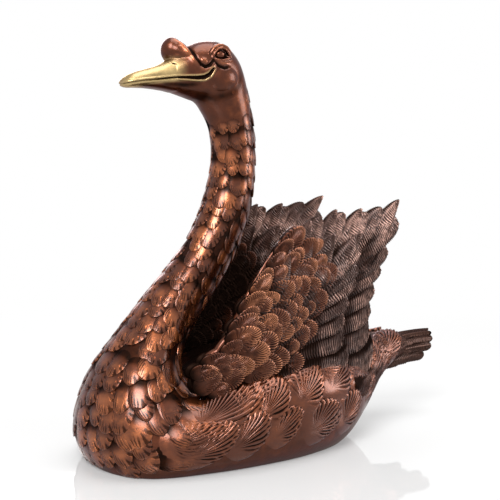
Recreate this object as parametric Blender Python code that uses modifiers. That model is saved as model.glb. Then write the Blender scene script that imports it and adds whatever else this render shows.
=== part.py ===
"""Cast copper swan ornament, modelled as the castings and fixings that it is put together from.

The swan faces -X, its left side is -Y and it stands on z = 0. Sizes are in metres.
"""

import math
from collections import namedtuple

import bmesh
import bpy
from mathutils import Vector

MM = 0.001

# Fits and walls
GAP = 0.3 * MM
WALL = 3.0 * MM

# Torso widths, which the profile below shares out
HULL_HALF_WIDTH = 73 * MM
NECK_RADIUS = 16 * MM
HEAD_HALF_WIDTH = 18 * MM

# Fineness of the castings' facets
TORSO_SIDES = 24
TORSO_RINGS_PER_SPAN = 2
TURNED_STEPS = 12

# Base: the rim stands just clear of the surface, on the felt
RIM_Z = 0.5 * MM
FELT_THICKNESS = 2.0 * MM
PLATE_THICKNESS = 2.0 * MM
PLATE_CLEARANCE = 0.8 * MM
FELT_MARGIN = 4.0 * MM
LUG_LENGTH = 14 * MM
LUG_HEIGHT = 9 * MM
PLATE_SCREW_INSET = 9 * MM
PLATE_SCREW_SECTIONS = (2.9, 4.5, 6.3)

# Fixings: radius of the shank, radius and height of the head, whole length of the shank
Fixing = namedtuple("Fixing", "shank head height length")
PLATE_SCREW = Fixing(1.5 * MM, 3.0 * MM, 1.5 * MM, 8.0 * MM)
WING_SCREW = Fixing(1.5 * MM, 2.8 * MM, 2.0 * MM, 15.0 * MM)
PIN_RADIUS = 1.25 * MM
PIN_SINK = 0.2 * MM
THROUGH = 2.0 * MM

# Bosses inside the hull for the wing screws
BOSS_RADIUS = 4.5 * MM
BOSS_LENGTH = 6.0 * MM

# Sleeves inside the two neck seams, with reaches counted in sections of the profile
SLEEVE_WALL = 2.0 * MM
SLEEVE_CLEARANCE = 0.6 * MM
SLEEVE_REACH = 0.42
PIN_REACH = 0.22

# Wings: thickness at the foot and at the feather tips
WING_FOOT_THICKNESS = 9.0 * MM
WING_TIP_THICKNESS = 2.4 * MM
WING_VANE_STEP = 1.3 * MM
WING_LAYER_STEP = 0.7 * MM
WING_COVERT_STEP = 1.5 * MM
WING_SCREW_SECTIONS = (3.1, 4.3, 5.5)
WING_SCREW_OFFSET = 2.5 * MM

# Tail fan
TAIL_ROOT_X = 98 * MM
TAIL_TIP_X = 153 * MM
TAIL_ROOT_Z = 62 * MM
TAIL_RISE = 9 * MM
TAIL_ARCH = 17 * MM
TAIL_ARCH_HALF_WIDTH = 25 * MM
TAIL_ROOT_ARCH = 0.5
TAIL_RIDGE = 1.2 * MM
TAIL_THICKNESS = 5.0 * MM
TAIL_CLEARANCE = 0.5 * MM
TAIL_ROOT_HALF_WIDTH = 11 * MM
TAIL_TIP_HALF_WIDTH = 24 * MM
TAIL_FEATHERS = 9
TAIL_NOTCH = 4 * MM
TAIL_SIDE_DROP = 26 * MM
TAIL_PIN_SECTION = 0.3
TAIL_PIN_TURN = math.radians(20)
TAIL_PIN_LENGTH = 16 * MM

# Head fittings
KNOB_CENTRE = Vector((-91, 0, 290)) * MM
KNOB_RADII = Vector((8.2, 7.6, 8.6)) * MM
EYE_RADIUS = 4.0 * MM
EYE_SINK = 2.4 * MM
EYE_SECTION = 20.05
EYE_TURN = math.radians(128)
TENON_LENGTH = 6.0 * MM
UPPER_TENON = (10 * MM, 7 * MM)
LOWER_TENON = (8 * MM, 4 * MM)

# Side profile of the swan in mm, from the rump forward under the body and up the neck.
# Each section has its belly point, its back point, its half width and how square its two halves are.
Section = namedtuple("Section", "belly_x belly_z back_x back_z half_width belly_power back_power")
HULL = HULL_HALF_WIDTH / MM
NECK = NECK_RADIUS / MM
HEAD = HEAD_HALF_WIDTH / MM
FACE_X = -92
PROFILE = [
    Section(113, 50, 111, 71, 0.26 * HULL, 2.0, 2.0),
    Section(86, 33, 83, 71.5, 0.36 * HULL, 2.1, 2.0),
    Section(61, 8, 59, 73, 0.55 * HULL, 2.3, 2.0),
    Section(29, -9, 28, 77, 0.81 * HULL, 2.5, 2.1),
    Section(-10, -14, -8, 78, 0.96 * HULL, 2.6, 2.2),
    Section(-50, -14, -45, 72, 1.0 * HULL, 2.6, 2.2),
    Section(-94, -14, -72, 63, 0.96 * HULL, 2.4, 2.2),
    Section(-139, -10, -84, 59, 0.86 * HULL, 2.35, 2.2),
    Section(-158, 8, -89, 61, 0.74 * HULL, 2.3, 2.1),
    Section(-161, 35, -91, 66, 0.62 * HULL, 2.1, 2.0),
    Section(-152, 64, -90, 74, 0.49 * HULL, 2.0, 2.0),
    Section(-132, 91, -85, 84, 1.72 * NECK, 2.0, 2.0),
    Section(-113, 114, -76, 96, 1.36 * NECK, 2.0, 2.0),
    Section(-93, 136, -63, 113, 1.18 * NECK, 2.0, 2.0),
    Section(-76, 157, -47, 135, 1.1 * NECK, 2.0, 2.0),
    Section(-63, 184, -30, 171, 1.05 * NECK, 2.0, 2.0),
    Section(-56, 213, -24, 211, 1.0 * NECK, 2.0, 2.0),
    Section(-59, 236, -26, 243, 1.0 * NECK, 2.0, 2.0),
    Section(-66, 249, -31, 267, 0.96 * HEAD, 2.0, 2.1),
    Section(-71, 254, -39, 286, 1.02 * HEAD, 2.0, 2.3),
    Section(-77, 256, -53, 297, 1.02 * HEAD, 2.0, 2.5),
    Section(-85, 258.5, -71, 297, 0.9 * HEAD, 2.0, 2.4),
    Section(FACE_X, 260.5, FACE_X, 286, 0.68 * HEAD, 2.0, 2.0),
]
RUMP_END = 0
CAVITY_START = 1.3
BASE_START, BASE_END = 1.5, 9.0
NECK_SEAM = 12.5
HEAD_SEAM = 18.0
HEAD_CAVITY_END = 19.3
FACE_END = 22
SEAM_STEP = 0.02

# Bill halves in mm: distance in front of the face, half width, height of the flat, height of the crown
UPPER_BILL = [
    (0.4, 11.5, 270.4, 284), (12, 10, 269.4, 280), (20, 9.5, 268.2, 276.5), (28, 9, 266.8, 273.5),
    (34, 7.5, 265.6, 271), (37.5, 3.5, 264.8, 267.5),
]
LOWER_BILL = [
    (0.4, 10.5, 269.6, 260.7), (12, 9, 268.6, 261.8), (20, 8.5, 267.4, 262.4), (28, 8, 266, 262.6),
    (34, 6, 264.8, 262.4),
]

# Wing outline about the shoulder, in degrees above the horizontal and mm, round from the front
WING_PIVOT = (-87, 66)
WING_EDGE = [
    (184, 15), (135, 12), (84, 19), (68, 31), (66, 55), (63, 77), (61, 93), (59.5, 108), (57.5, 121),
]
WING_TIPS = [
    (53, 131), (47.5, 151), (41.5, 168), (35.4, 202), (31, 191), (27.5, 176), (24.2, 164), (20, 153),
    (14.5, 146), (8, 143), (-0.5, 149),
]
WING_UNDER = [(-2.8, 118), (-3.2, 92), (-6, 57), (-27, 28), (-66, 19), (-107, 15), (-150, 14)]
WING_NOTCH = 0.06
WING_SHARES = (0.0, 0.2, 0.4, 0.54, 0.57, 0.78, 0.81, 0.9, 1.0)
COVERT_END, LAYER_END = 0.555, 0.795
# Shares of the way from one feather tip to the next, and the height of the feathers there
WING_VANES = ((0.0, 0.5), (0.25, 0.75), (0.47, 1.0), (0.53, 0.0), (0.75, 0.25))
FOOT_PLAIN_Z, FOOT_CHASED_Z = 76, 96


def lerp(a, b, share):
    """Value that lies the given share of the way from a to b."""
    return a + (b - a) * share


def smooth_row(rows, t):
    """Row of values at t on the smooth curve through the rows, which lie at whole numbers."""
    i = min(max(int(t), 0), len(rows) - 2)
    p1, p2 = rows[i], rows[i + 1]
    p0 = rows[i - 1] if i > 0 else [2 * a - b for a, b in zip(p1, p2)]
    p3 = rows[i + 2] if i + 2 < len(rows) else [2 * b - a for a, b in zip(p1, p2)]
    u = t - i
    return [
        0.5 * (2 * b + (c - a) * u + (2 * a - 5 * b + 4 * c - d) * u**2 + (3 * (b - c) + d - a) * u**3)
        for a, b, c, d in zip(p0, p1, p2, p3)
    ]


def torso_point(t, turn, inset=0.0):
    """Point of the torso's skin at section t, turned from the belly by an angle, and taken in by inset."""
    section = Section(*smooth_row(PROFILE, t))
    belly = Vector((section.belly_x, 0, section.belly_z)) * MM
    back = Vector((section.back_x, 0, section.back_z)) * MM
    down, side = math.cos(turn), math.sin(turn)
    power = section.belly_power if down > 0 else section.back_power
    depth = math.copysign(abs(down) ** (2 / power), down) * ((belly - back).length / 2 - inset)
    width = math.copysign(abs(side) ** (2 / power), side) * (section.half_width * MM - inset)
    return (belly + back) / 2 + (belly - back).normalized() * depth + Vector((0, width, 0))


def torso_normal(t, turn):
    """Outward direction of the torso's skin at section t."""
    step = 0.02
    forward = torso_point(t + step, turn) - torso_point(t - step, turn)
    around = torso_point(t, turn + step) - torso_point(t, turn - step)
    normal = forward.cross(around).normalized()
    outward = torso_point(t, turn) - torso_point(t, turn, 1 * MM)
    return normal if normal.dot(outward) > 0 else -normal


def material(name, colour, roughness, metallic):
    """Plain material of one colour."""
    made = bpy.data.materials.new(name)
    made.use_nodes = True
    shader = made.node_tree.nodes["Principled BSDF"]
    shader.inputs["Base Color"].default_value = (*colour, 1)
    shader.inputs["Roughness"].default_value = roughness
    shader.inputs["Metallic"].default_value = metallic
    return made


def object_of(name, mesh, finish=None):
    """Object of a mesh: a part where it has a finish, and a cutter where it has none."""
    obj = bpy.data.objects.new(name, mesh)
    bpy.data.collections["copper_swan" if finish else "cutters"].objects.link(obj)
    if finish:
        mesh.materials.append(finish)
        mesh.shade_smooth()
        mesh.set_sharp_from_angle(angle=math.radians(40))
    else:
        obj.hide_render = True
        obj.display_type = "WIRE"
    return obj


def mesh_of(name, bm):
    """Mesh of a bmesh whose faces are turned outwards and whose warped faces are split into flat ones."""
    bmesh.ops.recalc_face_normals(bm, faces=bm.faces)
    bmesh.ops.triangulate(bm, faces=[face for face in bm.faces if len(face.verts) == 4])
    mesh = bpy.data.meshes.new(name)
    bm.to_mesh(mesh)
    bm.free()
    return mesh


def change(obj, operation, other):
    """Boolean of an object with another."""
    modifier = obj.modifiers.new(other.name, "BOOLEAN")
    modifier.operation = operation
    modifier.object = other


def bridge(bm, first, second):
    """Faces between two rings of the same number of points."""
    for i, _ in enumerate(first):
        j = (i + 1) % len(first)
        bm.faces.new((first[i], first[j], second[j], second[i]))


def torso_rings(bm, start, end, inset):
    """Rings of points on the torso's skin from section start to section end."""
    spans = max(2, math.ceil((end - start) * TORSO_RINGS_PER_SPAN))
    turns = [2 * math.pi * i / TORSO_SIDES for i in range(TORSO_SIDES)]
    rings = []
    for k in range(spans + 1):
        t = lerp(start, end, k / spans)
        rings.append([bm.verts.new(torso_point(t, turn, inset)) for turn in turns])
    for first, second in zip(rings, rings[1:]):
        bridge(bm, first, second)
    return rings


def torso_solid(name, start, end, inset=0.0):
    """Mesh of the torso from section start to section end, closed with flat ends."""
    bm = bmesh.new()
    rings = torso_rings(bm, start, end, inset)
    bm.faces.new(rings[0])
    bm.faces.new(rings[-1])
    return mesh_of(name, bm)


def torso_tube(name, start, end, outer, inner):
    """Mesh of a tube that follows the torso between two insets, open at both ends."""
    bm = bmesh.new()
    skin = torso_rings(bm, start, end, outer)
    bore = torso_rings(bm, start, end, inner)
    bridge(bm, skin[0], bore[0])
    bridge(bm, skin[-1], bore[-1])
    return mesh_of(name, bm)


def box_mesh(name, centre, size):
    """Mesh of a box about its centre."""
    bm = bmesh.new()
    bmesh.ops.create_cube(bm, size=1)
    bmesh.ops.scale(bm, vec=size, verts=bm.verts)
    bmesh.ops.translate(bm, vec=centre, verts=bm.verts)
    return mesh_of(name, bm)


def stand(obj, place, axis):
    """Stands an object at a place with its Z along an axis."""
    obj.location = place
    obj.rotation_mode = "QUATERNION"
    obj.rotation_quaternion = axis.to_track_quat("Z", "Y")


def turned(name, profile, place, axis, finish=None):
    """Turned piece from points of radius and height, listed from its top down, standing along an axis."""
    mesh = bpy.data.meshes.new(name)
    points = [(radius, 0, height) for radius, height in profile]
    mesh.from_pydata(points, [(i, i + 1) for i in range(len(points) - 1)], [])
    obj = object_of(name, mesh, finish)
    lathe = obj.modifiers.new("lathe", "SCREW")
    lathe.steps = TURNED_STEPS
    lathe.render_steps = TURNED_STEPS
    lathe.use_merge_vertices = True
    lathe.merge_threshold = 0.00001
    lathe.use_smooth_shade = True
    stand(obj, place, axis)
    return obj


def rod(name, radius, top, bottom, place, axis, finish=None):
    """Plain rod between two heights along an axis through a place."""
    bm = bmesh.new()
    bmesh.ops.create_cone(
        bm, segments=TURNED_STEPS, radius1=radius, radius2=radius, depth=top - bottom, cap_ends=True
    )
    bmesh.ops.translate(bm, vec=(0, 0, (top + bottom) / 2), verts=bm.verts)
    obj = object_of(name, mesh_of(name, bm), finish)
    stand(obj, place, axis)
    return obj


def pan_profile(fixing):
    """Pan-head screw that points up, with the underside of its head at height 0."""
    return [
        (0, fixing.length),
        (fixing.shank, fixing.length),
        (fixing.shank, 0),
        (fixing.head, 0),
        (fixing.head, -fixing.height),
        (0, -fixing.height),
    ]


def countersunk_profile(fixing, grow=0.0):
    """Countersunk screw that points up, with the flat of its head at height 0."""
    return [
        (0, fixing.length + grow),
        (fixing.shank + grow, fixing.length + grow),
        (fixing.shank + grow, fixing.height + grow),
        (fixing.head + grow, grow),
        (fixing.head + grow, -grow),
        (0, -grow),
    ]


def rim_point(t, inset):
    """Point of section t on the plane of the rim, or None where the section stays above it."""
    low, high = 0.0, math.pi / 2
    if torso_point(t, low, inset).z > RIM_Z:
        return None
    for _ in range(30):
        middle = (low + high) / 2
        low, high = (middle, high) if torso_point(t, middle, inset).z < RIM_Z else (low, middle)
    return torso_point(t, low, inset)


def base_outline(inset):
    """Outline of the torso on the plane of the rim, taken in by inset, as points of x and y."""
    steps = 24
    points = [rim_point(lerp(BASE_START, BASE_END, k / steps), inset) for k in range(steps + 1)]
    side = [(point.x, point.y) for point in points if point]
    return side + [(x, -y) for x, y in reversed(side)]


def slab(name, outline, low, high):
    """Mesh of a flat outline between two heights."""
    bm = bmesh.new()
    face = bm.faces.new([bm.verts.new((x, y, low)) for x, y in outline])
    raised = bmesh.ops.extrude_face_region(bm, geom=[face])["geom"]
    lifted = [item for item in raised if isinstance(item, bmesh.types.BMVert)]
    bmesh.ops.translate(bm, vec=(0, 0, high - low), verts=lifted)
    return mesh_of(name, bm)


def wing_y(x, z):
    """Distance of the wing's middle surface from the swan's middle, for a place in side view in mm."""
    rise = min(max((z - 56) / 125, 0), 1)
    foot = HULL * 0.725 - 14 * ((x + 35) / 94) ** 2
    top = HULL * 0.73 - 4 * ((x - 5) / 70) ** 2
    return lerp(foot, top, rise * rise * (3 - 2 * rise)) + 3 * math.sin(math.pi * rise)


def wing_screw_turn(section):
    """Turn from the belly at which a screw through the hull's skin comes up inside the wing's foot."""
    low, high = math.pi / 2, math.pi
    for _ in range(30):
        middle = (low + high) / 2
        point = torso_point(section, middle)
        outside = point.y > wing_y(point.x / MM, point.z / MM) * MM - WING_SCREW_OFFSET
        low, high = (middle, high) if outside else (low, middle)
    return low


def wing_outline():
    """Outline of the wing about its pivot and how high its feathers stand there, notched between tips."""
    points = [(turn, reach, 0) for turn, reach in WING_EDGE]
    for (turn, reach), (next_turn, next_reach) in zip(WING_TIPS, WING_TIPS[1:]):
        for share, lift in WING_VANES:
            notch = 1 - WING_NOTCH * (1 - abs(math.cos(math.pi * share)))
            points.append((lerp(turn, next_turn, share), lerp(reach, next_reach, share) * notch, lift))
    last = WING_TIPS[-1:] + WING_UNDER
    return points + [(turn, reach, 0) for turn, reach in last]


def wing_relief(share, lift, z):
    """Height of the feathers over a wing's plain face, in layers from the shoulder to the tips."""
    height = WING_VANE_STEP * lift if share > COVERT_END else WING_COVERT_STEP
    if share < LAYER_END:
        height += WING_LAYER_STEP
    return height * min(max((z - FOOT_PLAIN_Z) / (FOOT_CHASED_Z - FOOT_PLAIN_Z), 0), 1)


def wing_sheet(bm, side, face):
    """Outer or inner face of a wing as rings about the shoulder, with its outline as the last ring."""
    outline = wing_outline()
    rings = []
    for share in WING_SHARES:
        ring = []
        for turn, reach, lift in outline[: 1 if share == 0 else None]:
            x = WING_PIVOT[0] + share * reach * math.cos(math.radians(turn))
            z = WING_PIVOT[1] + share * reach * math.sin(math.radians(turn))
            thinned = min(max((z - 70) / 70, 0), 1)
            half = lerp(WING_FOOT_THICKNESS, WING_TIP_THICKNESS, thinned) / 2 + wing_relief(share, lift, z)
            ring.append(bm.verts.new((x * MM, side * (wing_y(x, z) * MM + face * half), z * MM)))
        rings.append(ring)
    for i, _ in enumerate(outline):
        j = (i + 1) % len(outline)
        bm.faces.new((rings[0][0], rings[1][i], rings[1][j]))
    for first, second in zip(rings[1:], rings[2:]):
        bridge(bm, first, second)
    return rings[-1]


def wing_plate(name, side, finish):
    """Wing casting: a curved plate that thins from its foot to its feather tips."""
    bm = bmesh.new()
    bridge(bm, wing_sheet(bm, side, 1), wing_sheet(bm, side, -1))
    return object_of(name, mesh_of(name, bm), finish)


def tail_plate(name, thickness, reach, finish=None):
    """Tail fan: an arched plate with a notch between each two feathers and a tenon at its root."""
    bm = bmesh.new()
    columns = 4 * TAIL_FEATHERS
    rows = 6
    grid = []
    for c in range(columns + 1):
        across = 2 * c / columns - 1
        phase = abs(math.sin(math.pi * c / 4))
        tip = TAIL_TIP_X - TAIL_SIDE_DROP * across**2 - TAIL_NOTCH * (1 - phase)
        column = []
        for r in range(rows + 1):
            share = r / rows
            x = lerp(TAIL_ROOT_X - reach, tip, share)
            grown = min(max((x - TAIL_ROOT_X) / (TAIL_TIP_X - TAIL_ROOT_X), 0), 1)
            y = across * (lerp(TAIL_ROOT_HALF_WIDTH, TAIL_TIP_HALF_WIDTH, grown) + reach)
            drop = TAIL_ARCH * lerp(TAIL_ROOT_ARCH, 1, grown) * (y / TAIL_ARCH_HALF_WIDTH) ** 2
            z = TAIL_ROOT_Z + TAIL_RISE * grown - drop + TAIL_RIDGE * grown * phase
            column.append(bm.verts.new((x, y, z)))
        grid.append(column)
    for first, second in zip(grid, grid[1:]):
        for r in range(rows):
            bm.faces.new((first[r], first[r + 1], second[r + 1], second[r]))
    obj = object_of(name, mesh_of(name, bm), finish)
    plate = obj.modifiers.new("plate", "SOLIDIFY")
    plate.thickness = thickness
    plate.offset = 0
    return obj


def ball(name, centre, radii, finish=None):
    """Ball or egg about its centre."""
    bm = bmesh.new()
    bmesh.ops.create_uvsphere(bm, u_segments=16, v_segments=10, radius=1)
    bmesh.ops.scale(bm, vec=radii, verts=bm.verts)
    bmesh.ops.translate(bm, vec=centre, verts=bm.verts)
    return object_of(name, mesh_of(name, bm), finish)


def bill_half(name, stations, finish):
    """Bill half lofted through its stations, with its base at the face."""
    bm = bmesh.new()
    turns = [math.pi * i / 8 for i in range(9)]
    rings = []
    for ahead, half, flat, crown in stations:
        arch = [(half * math.cos(a), lerp(flat, crown, math.sin(a))) for a in turns]
        rings.append([bm.verts.new(Vector((FACE_X - ahead, y, z)) * MM) for y, z in arch])
    for first, second in zip(rings, rings[1:]):
        bridge(bm, first, second)
    bm.faces.new(rings[0])
    bm.faces.new(rings[-1])
    return object_of(name, mesh_of(name, bm), finish)


def fit_bill(bill, stations, tenon, head):
    """Tenon on a bill half, and its socket in the head."""
    width, height = tenon
    flat, crown = stations[0][2:]
    place = Vector((FACE_X * MM, 0, lerp(flat, crown, 0.4) * MM))
    size = Vector((2 * TENON_LENGTH, width, height))
    name = bill.name
    change(bill, "UNION", object_of(name + "_tenon", box_mesh(name + "_tenon", place, size)))
    grown = size + 2 * GAP * Vector((1, 1, 1))
    change(head, "DIFFERENCE", object_of(name + "_socket", box_mesh(name + "_socket", place, grown)))


def cross_pins(name, seam, below, above, sleeve, finish):
    """Pins through the walls on both sides of a seam into the sleeve behind them."""
    length = WALL + SLEEVE_CLEARANCE + SLEEVE_WALL - PIN_SINK
    number = 0
    for casting, reach in ((below, -PIN_REACH), (above, PIN_REACH)):
        for turn in (math.pi / 2, -math.pi / 2):
            number += 1
            outward = torso_normal(seam + reach, turn)
            top = torso_point(seam + reach, turn) - PIN_SINK * outward
            pin = f"{name}_pin_{number}"
            rod(pin, PIN_RADIUS, 0, -length, top, outward, finish)
            hole = rod(pin + "_hole", PIN_RADIUS + GAP, THROUGH, -length - THROUGH, top, outward)
            change(casting, "DIFFERENCE", hole)
            change(sleeve, "DIFFERENCE", hole)


def seam_sleeve(name, seam, finish):
    """Sleeve inside a seam of the neck."""
    outer = WALL + SLEEVE_CLEARANCE
    tube = torso_tube(name, seam - SLEEVE_REACH, seam + SLEEVE_REACH, outer, outer + SLEEVE_WALL)
    return object_of(name, tube, finish)


def fix_wing(wing, side_name, side, body, steel):
    """Seat of a wing on the hull, with its bosses and screws."""
    depth = WALL + BOSS_LENGTH
    for number, section in enumerate(WING_SCREW_SECTIONS, 1):
        turn = side * wing_screw_turn(section)
        outward = torso_normal(section, turn)
        skin = torso_point(section, turn)
        name = f"{side_name}_wing_screw_{number}"
        change(body, "UNION", rod(name + "_boss", BOSS_RADIUS, -WALL / 2, -depth, skin, outward))
        seat = skin - (depth + GAP) * outward
        turned(name, pan_profile(WING_SCREW), seat, outward, steel)
        bore = WING_SCREW.shank + GAP
        hole = rod(name + "_hole", bore, WING_SCREW.length + GAP, -THROUGH, seat, outward)
        change(body, "DIFFERENCE", hole)
        change(wing, "DIFFERENCE", hole)


def fix_plate(plate, body, core, steel):
    """Lugs inside the hull and the screws that hold the base plate to them."""
    plate_low = FELT_THICKNESS + GAP
    lug_low = plate_low + PLATE_THICKNESS + GAP
    number = 0
    for section in PLATE_SCREW_SECTIONS:
        rim = rim_point(section, WALL + PLATE_CLEARANCE)
        for side in (-1, 1):
            number += 1
            name = f"base_screw_{number}"
            width = 4 * PLATE_SCREW_INSET
            middle = rim.y - 2 * PLATE_SCREW_INSET + width / 2
            size = (LUG_LENGTH, width, LUG_HEIGHT)
            lug_mesh = box_mesh(name, (rim.x, side * middle, lug_low + LUG_HEIGHT / 2), size)
            lug = object_of(name + "_lug", lug_mesh)
            change(lug, "INTERSECT", core)
            change(body, "UNION", lug)
            place = Vector((rim.x, side * (rim.y - PLATE_SCREW_INSET), plate_low + PIN_SINK))
            up = Vector((0, 0, 1))
            turned(name, countersunk_profile(PLATE_SCREW), place, up, steel)
            hole = turned(name + "_hole", countersunk_profile(PLATE_SCREW, GAP), place, up)
            change(plate, "DIFFERENCE", hole)
            change(body, "DIFFERENCE", hole)


def fix_tail(tail, body, finish):
    """Slot for the tail's tenon in the rump, and the pins that hold it."""
    slot = tail_plate("tail_slot", TAIL_THICKNESS + 2 * TAIL_CLEARANCE, TAIL_CLEARANCE)
    change(body, "DIFFERENCE", slot)
    down = Vector((0, 0, -1))
    for number, side in enumerate((-1, 1), 1):
        top = torso_point(TAIL_PIN_SECTION, side * TAIL_PIN_TURN) - PIN_SINK * down
        name = f"tail_pin_{number}"
        rod(name, PIN_RADIUS, 0, -TAIL_PIN_LENGTH, top, down, finish)
        hole = rod(name + "_hole", PIN_RADIUS + GAP, THROUGH, -TAIL_PIN_LENGTH - GAP, top, down)
        change(body, "DIFFERENCE", hole)
        change(tail, "DIFFERENCE", hole)


def fix_eyes(head, finish):
    """Eye beads in their sockets."""
    for side_name, side in (("left", -1), ("right", 1)):
        turn = side * EYE_TURN
        centre = torso_point(EYE_SECTION, turn) - EYE_SINK * torso_normal(EYE_SECTION, turn)
        ball(f"{side_name}_eye", centre, Vector((1, 1, 1)) * EYE_RADIUS, finish)
        socket = ball(f"{side_name}_eye_socket", centre, Vector((1, 1, 1)) * (EYE_RADIUS + GAP))
        change(head, "DIFFERENCE", socket)


def main():
    """Builds every casting and fixing."""
    for obj in list(bpy.data.objects):
        bpy.data.objects.remove(obj)
    for name in ("copper_swan", "cutters"):
        bpy.context.scene.collection.children.link(bpy.data.collections.new(name))
    copper = material("brown_copper", (0.17, 0.065, 0.03), 0.35, 1.0)
    dark = material("dark_copper", (0.05, 0.022, 0.014), 0.3, 1.0)
    brass = material("yellow_brass", (0.58, 0.4, 0.16), 0.25, 1.0)
    steel = material("plain_steel", (0.45, 0.45, 0.46), 0.4, 1.0)
    felt_cloth = material("brown_felt", (0.06, 0.03, 0.02), 0.95, 0.0)

    body = object_of("body_casting", torso_solid("body_casting", RUMP_END, NECK_SEAM), copper)
    core = object_of("body_core", torso_solid("body_core", RUMP_END, NECK_SEAM, WALL / 2))
    cavity = torso_solid("body_cavity", CAVITY_START, NECK_SEAM + SLEEVE_REACH, WALL)
    change(body, "DIFFERENCE", object_of("body_cavity", cavity))
    below_rim = box_mesh("below_rim", (0, 0, RIM_Z - 0.1), (1, 1, 0.2))
    change(body, "DIFFERENCE", object_of("below_rim", below_rim))

    outline = base_outline(WALL + PLATE_CLEARANCE)
    plate_low = FELT_THICKNESS + GAP
    plate_mesh = slab("base_plate", outline, plate_low, plate_low + PLATE_THICKNESS)
    plate = object_of("base_plate", plate_mesh, steel)
    fix_plate(plate, body, core, steel)
    felt_outline = base_outline(WALL + PLATE_CLEARANCE + FELT_MARGIN)
    object_of("felt_pad", slab("felt_pad", felt_outline, 0, FELT_THICKNESS), felt_cloth)

    neck_tube = torso_tube("neck_casting", NECK_SEAM + SEAM_STEP, HEAD_SEAM, 0, WALL)
    neck = object_of("neck_casting", neck_tube, copper)
    head = object_of("head_casting", torso_solid("head_casting", HEAD_SEAM + SEAM_STEP, FACE_END), copper)
    hollow = torso_solid("head_cavity", HEAD_SEAM - SLEEVE_REACH, HEAD_CAVITY_END, WALL)
    change(head, "DIFFERENCE", object_of("head_cavity", hollow))
    change(head, "UNION", ball("knob", KNOB_CENTRE, KNOB_RADII))
    cross_pins("neck", NECK_SEAM, body, neck, seam_sleeve("neck_sleeve", NECK_SEAM, dark), dark)
    cross_pins("head", HEAD_SEAM, neck, head, seam_sleeve("head_sleeve", HEAD_SEAM, dark), dark)

    fix_eyes(head, dark)
    upper = bill_half("upper_bill", UPPER_BILL, brass)
    change(upper, "DIFFERENCE", ball("knob_seat", KNOB_CENTRE, KNOB_RADII + GAP * Vector((1, 1, 1))))
    fit_bill(upper, UPPER_BILL, UPPER_TENON, head)
    fit_bill(bill_half("lower_bill", LOWER_BILL, brass), LOWER_BILL, LOWER_TENON, head)

    seat = object_of("wing_seat", torso_solid("wing_seat", RUMP_END, NECK_SEAM, -GAP))
    for side_name, side in (("left", -1), ("right", 1)):
        wing = wing_plate(f"{side_name}_wing", side, copper)
        change(wing, "DIFFERENCE", seat)
        fix_wing(wing, side_name, side, body, steel)
    fix_tail(tail_plate("tail_fan", TAIL_THICKNESS, 0, copper), body, dark)


if __name__ == "__main__":
    main()
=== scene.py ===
"""Dressed copper swan: chased feathers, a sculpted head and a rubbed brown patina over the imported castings."""

import logging
import math
from dataclasses import dataclass
from enum import Enum

import bmesh
import bpy
import numpy as np
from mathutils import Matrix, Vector


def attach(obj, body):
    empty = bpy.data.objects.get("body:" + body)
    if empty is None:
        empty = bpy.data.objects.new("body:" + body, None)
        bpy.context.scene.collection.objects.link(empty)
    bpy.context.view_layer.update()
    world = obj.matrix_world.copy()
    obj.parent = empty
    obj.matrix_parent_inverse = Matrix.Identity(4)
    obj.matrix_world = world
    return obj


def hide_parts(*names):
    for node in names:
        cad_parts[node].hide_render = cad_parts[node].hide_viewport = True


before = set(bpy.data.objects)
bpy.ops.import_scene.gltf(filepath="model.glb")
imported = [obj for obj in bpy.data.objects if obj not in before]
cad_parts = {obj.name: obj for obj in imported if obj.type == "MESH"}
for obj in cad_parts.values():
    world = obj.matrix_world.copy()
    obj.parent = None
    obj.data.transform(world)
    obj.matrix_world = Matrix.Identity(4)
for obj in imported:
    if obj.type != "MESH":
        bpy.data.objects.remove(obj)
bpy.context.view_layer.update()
LOG = logging.getLogger("copper_swan")
MM = 0.001
FLOOR_GAP = 0.0005  # lowest that any feather reaches, in metres
MERGE_GAP = 0.000001  # points nearer than this are one, in metres
TIP_END = 0.997  # share of a feather's length at which its outline is cut off, so that its tip has a width
SKIRT_DROP = 0.9  # depth in mm that a feather's edge runs down into what carries it
SEED = 7
ROOT = "root"
COPPER_SLOT = "brown_copper"
Number = float | np.ndarray

# Side profile of the swan in mm, from the rump forward under the body and up the neck to the face:
# belly x and z, back x and z, half width, squareness of the belly half and of the back half
PROFILE = np.array([
    (113, 50, 111, 71, 19.0, 2.0, 2.0), (86, 33, 83, 71.5, 26.3, 2.1, 2.0), (61, 8, 59, 73, 40.2, 2.3, 2.0),
    (29, -9, 28, 77, 59.1, 2.5, 2.1), (-10, -14, -8, 78, 70.1, 2.6, 2.2), (-50, -14, -45, 72, 73.0, 2.6, 2.2),
    (-94, -14, -72, 63, 70.1, 2.4, 2.2), (-139, -10, -84, 59, 62.8, 2.35, 2.2), (-158, 8, -89, 61, 54.0, 2.3, 2.1),
    (-161, 35, -91, 66, 45.3, 2.1, 2.0), (-152, 64, -90, 74, 35.8, 2.0, 2.0), (-132, 91, -85, 84, 27.5, 2.0, 2.0),
    (-113, 114, -76, 96, 21.8, 2.0, 2.0), (-93, 136, -63, 113, 18.9, 2.0, 2.0), (-76, 157, -47, 135, 17.6, 2.0, 2.0),
    (-63, 184, -30, 171, 16.8, 2.0, 2.0), (-56, 213, -24, 211, 16.0, 2.0, 2.0), (-59, 236, -26, 243, 16.0, 2.0, 2.0),
    (-66, 249, -31, 267, 17.3, 2.0, 2.1), (-71, 254, -39, 286, 18.4, 2.0, 2.3), (-77, 256, -53, 297, 18.4, 2.0, 2.5),
    (-85, 258.5, -71, 297, 16.2, 2.0, 2.4), (-92, 260.5, -92, 286, 12.2, 2.0, 2.0),
])
NECK_SEAM = 12.5
HEAD_SEAM = 18.0
FACE_END = 22.0


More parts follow.
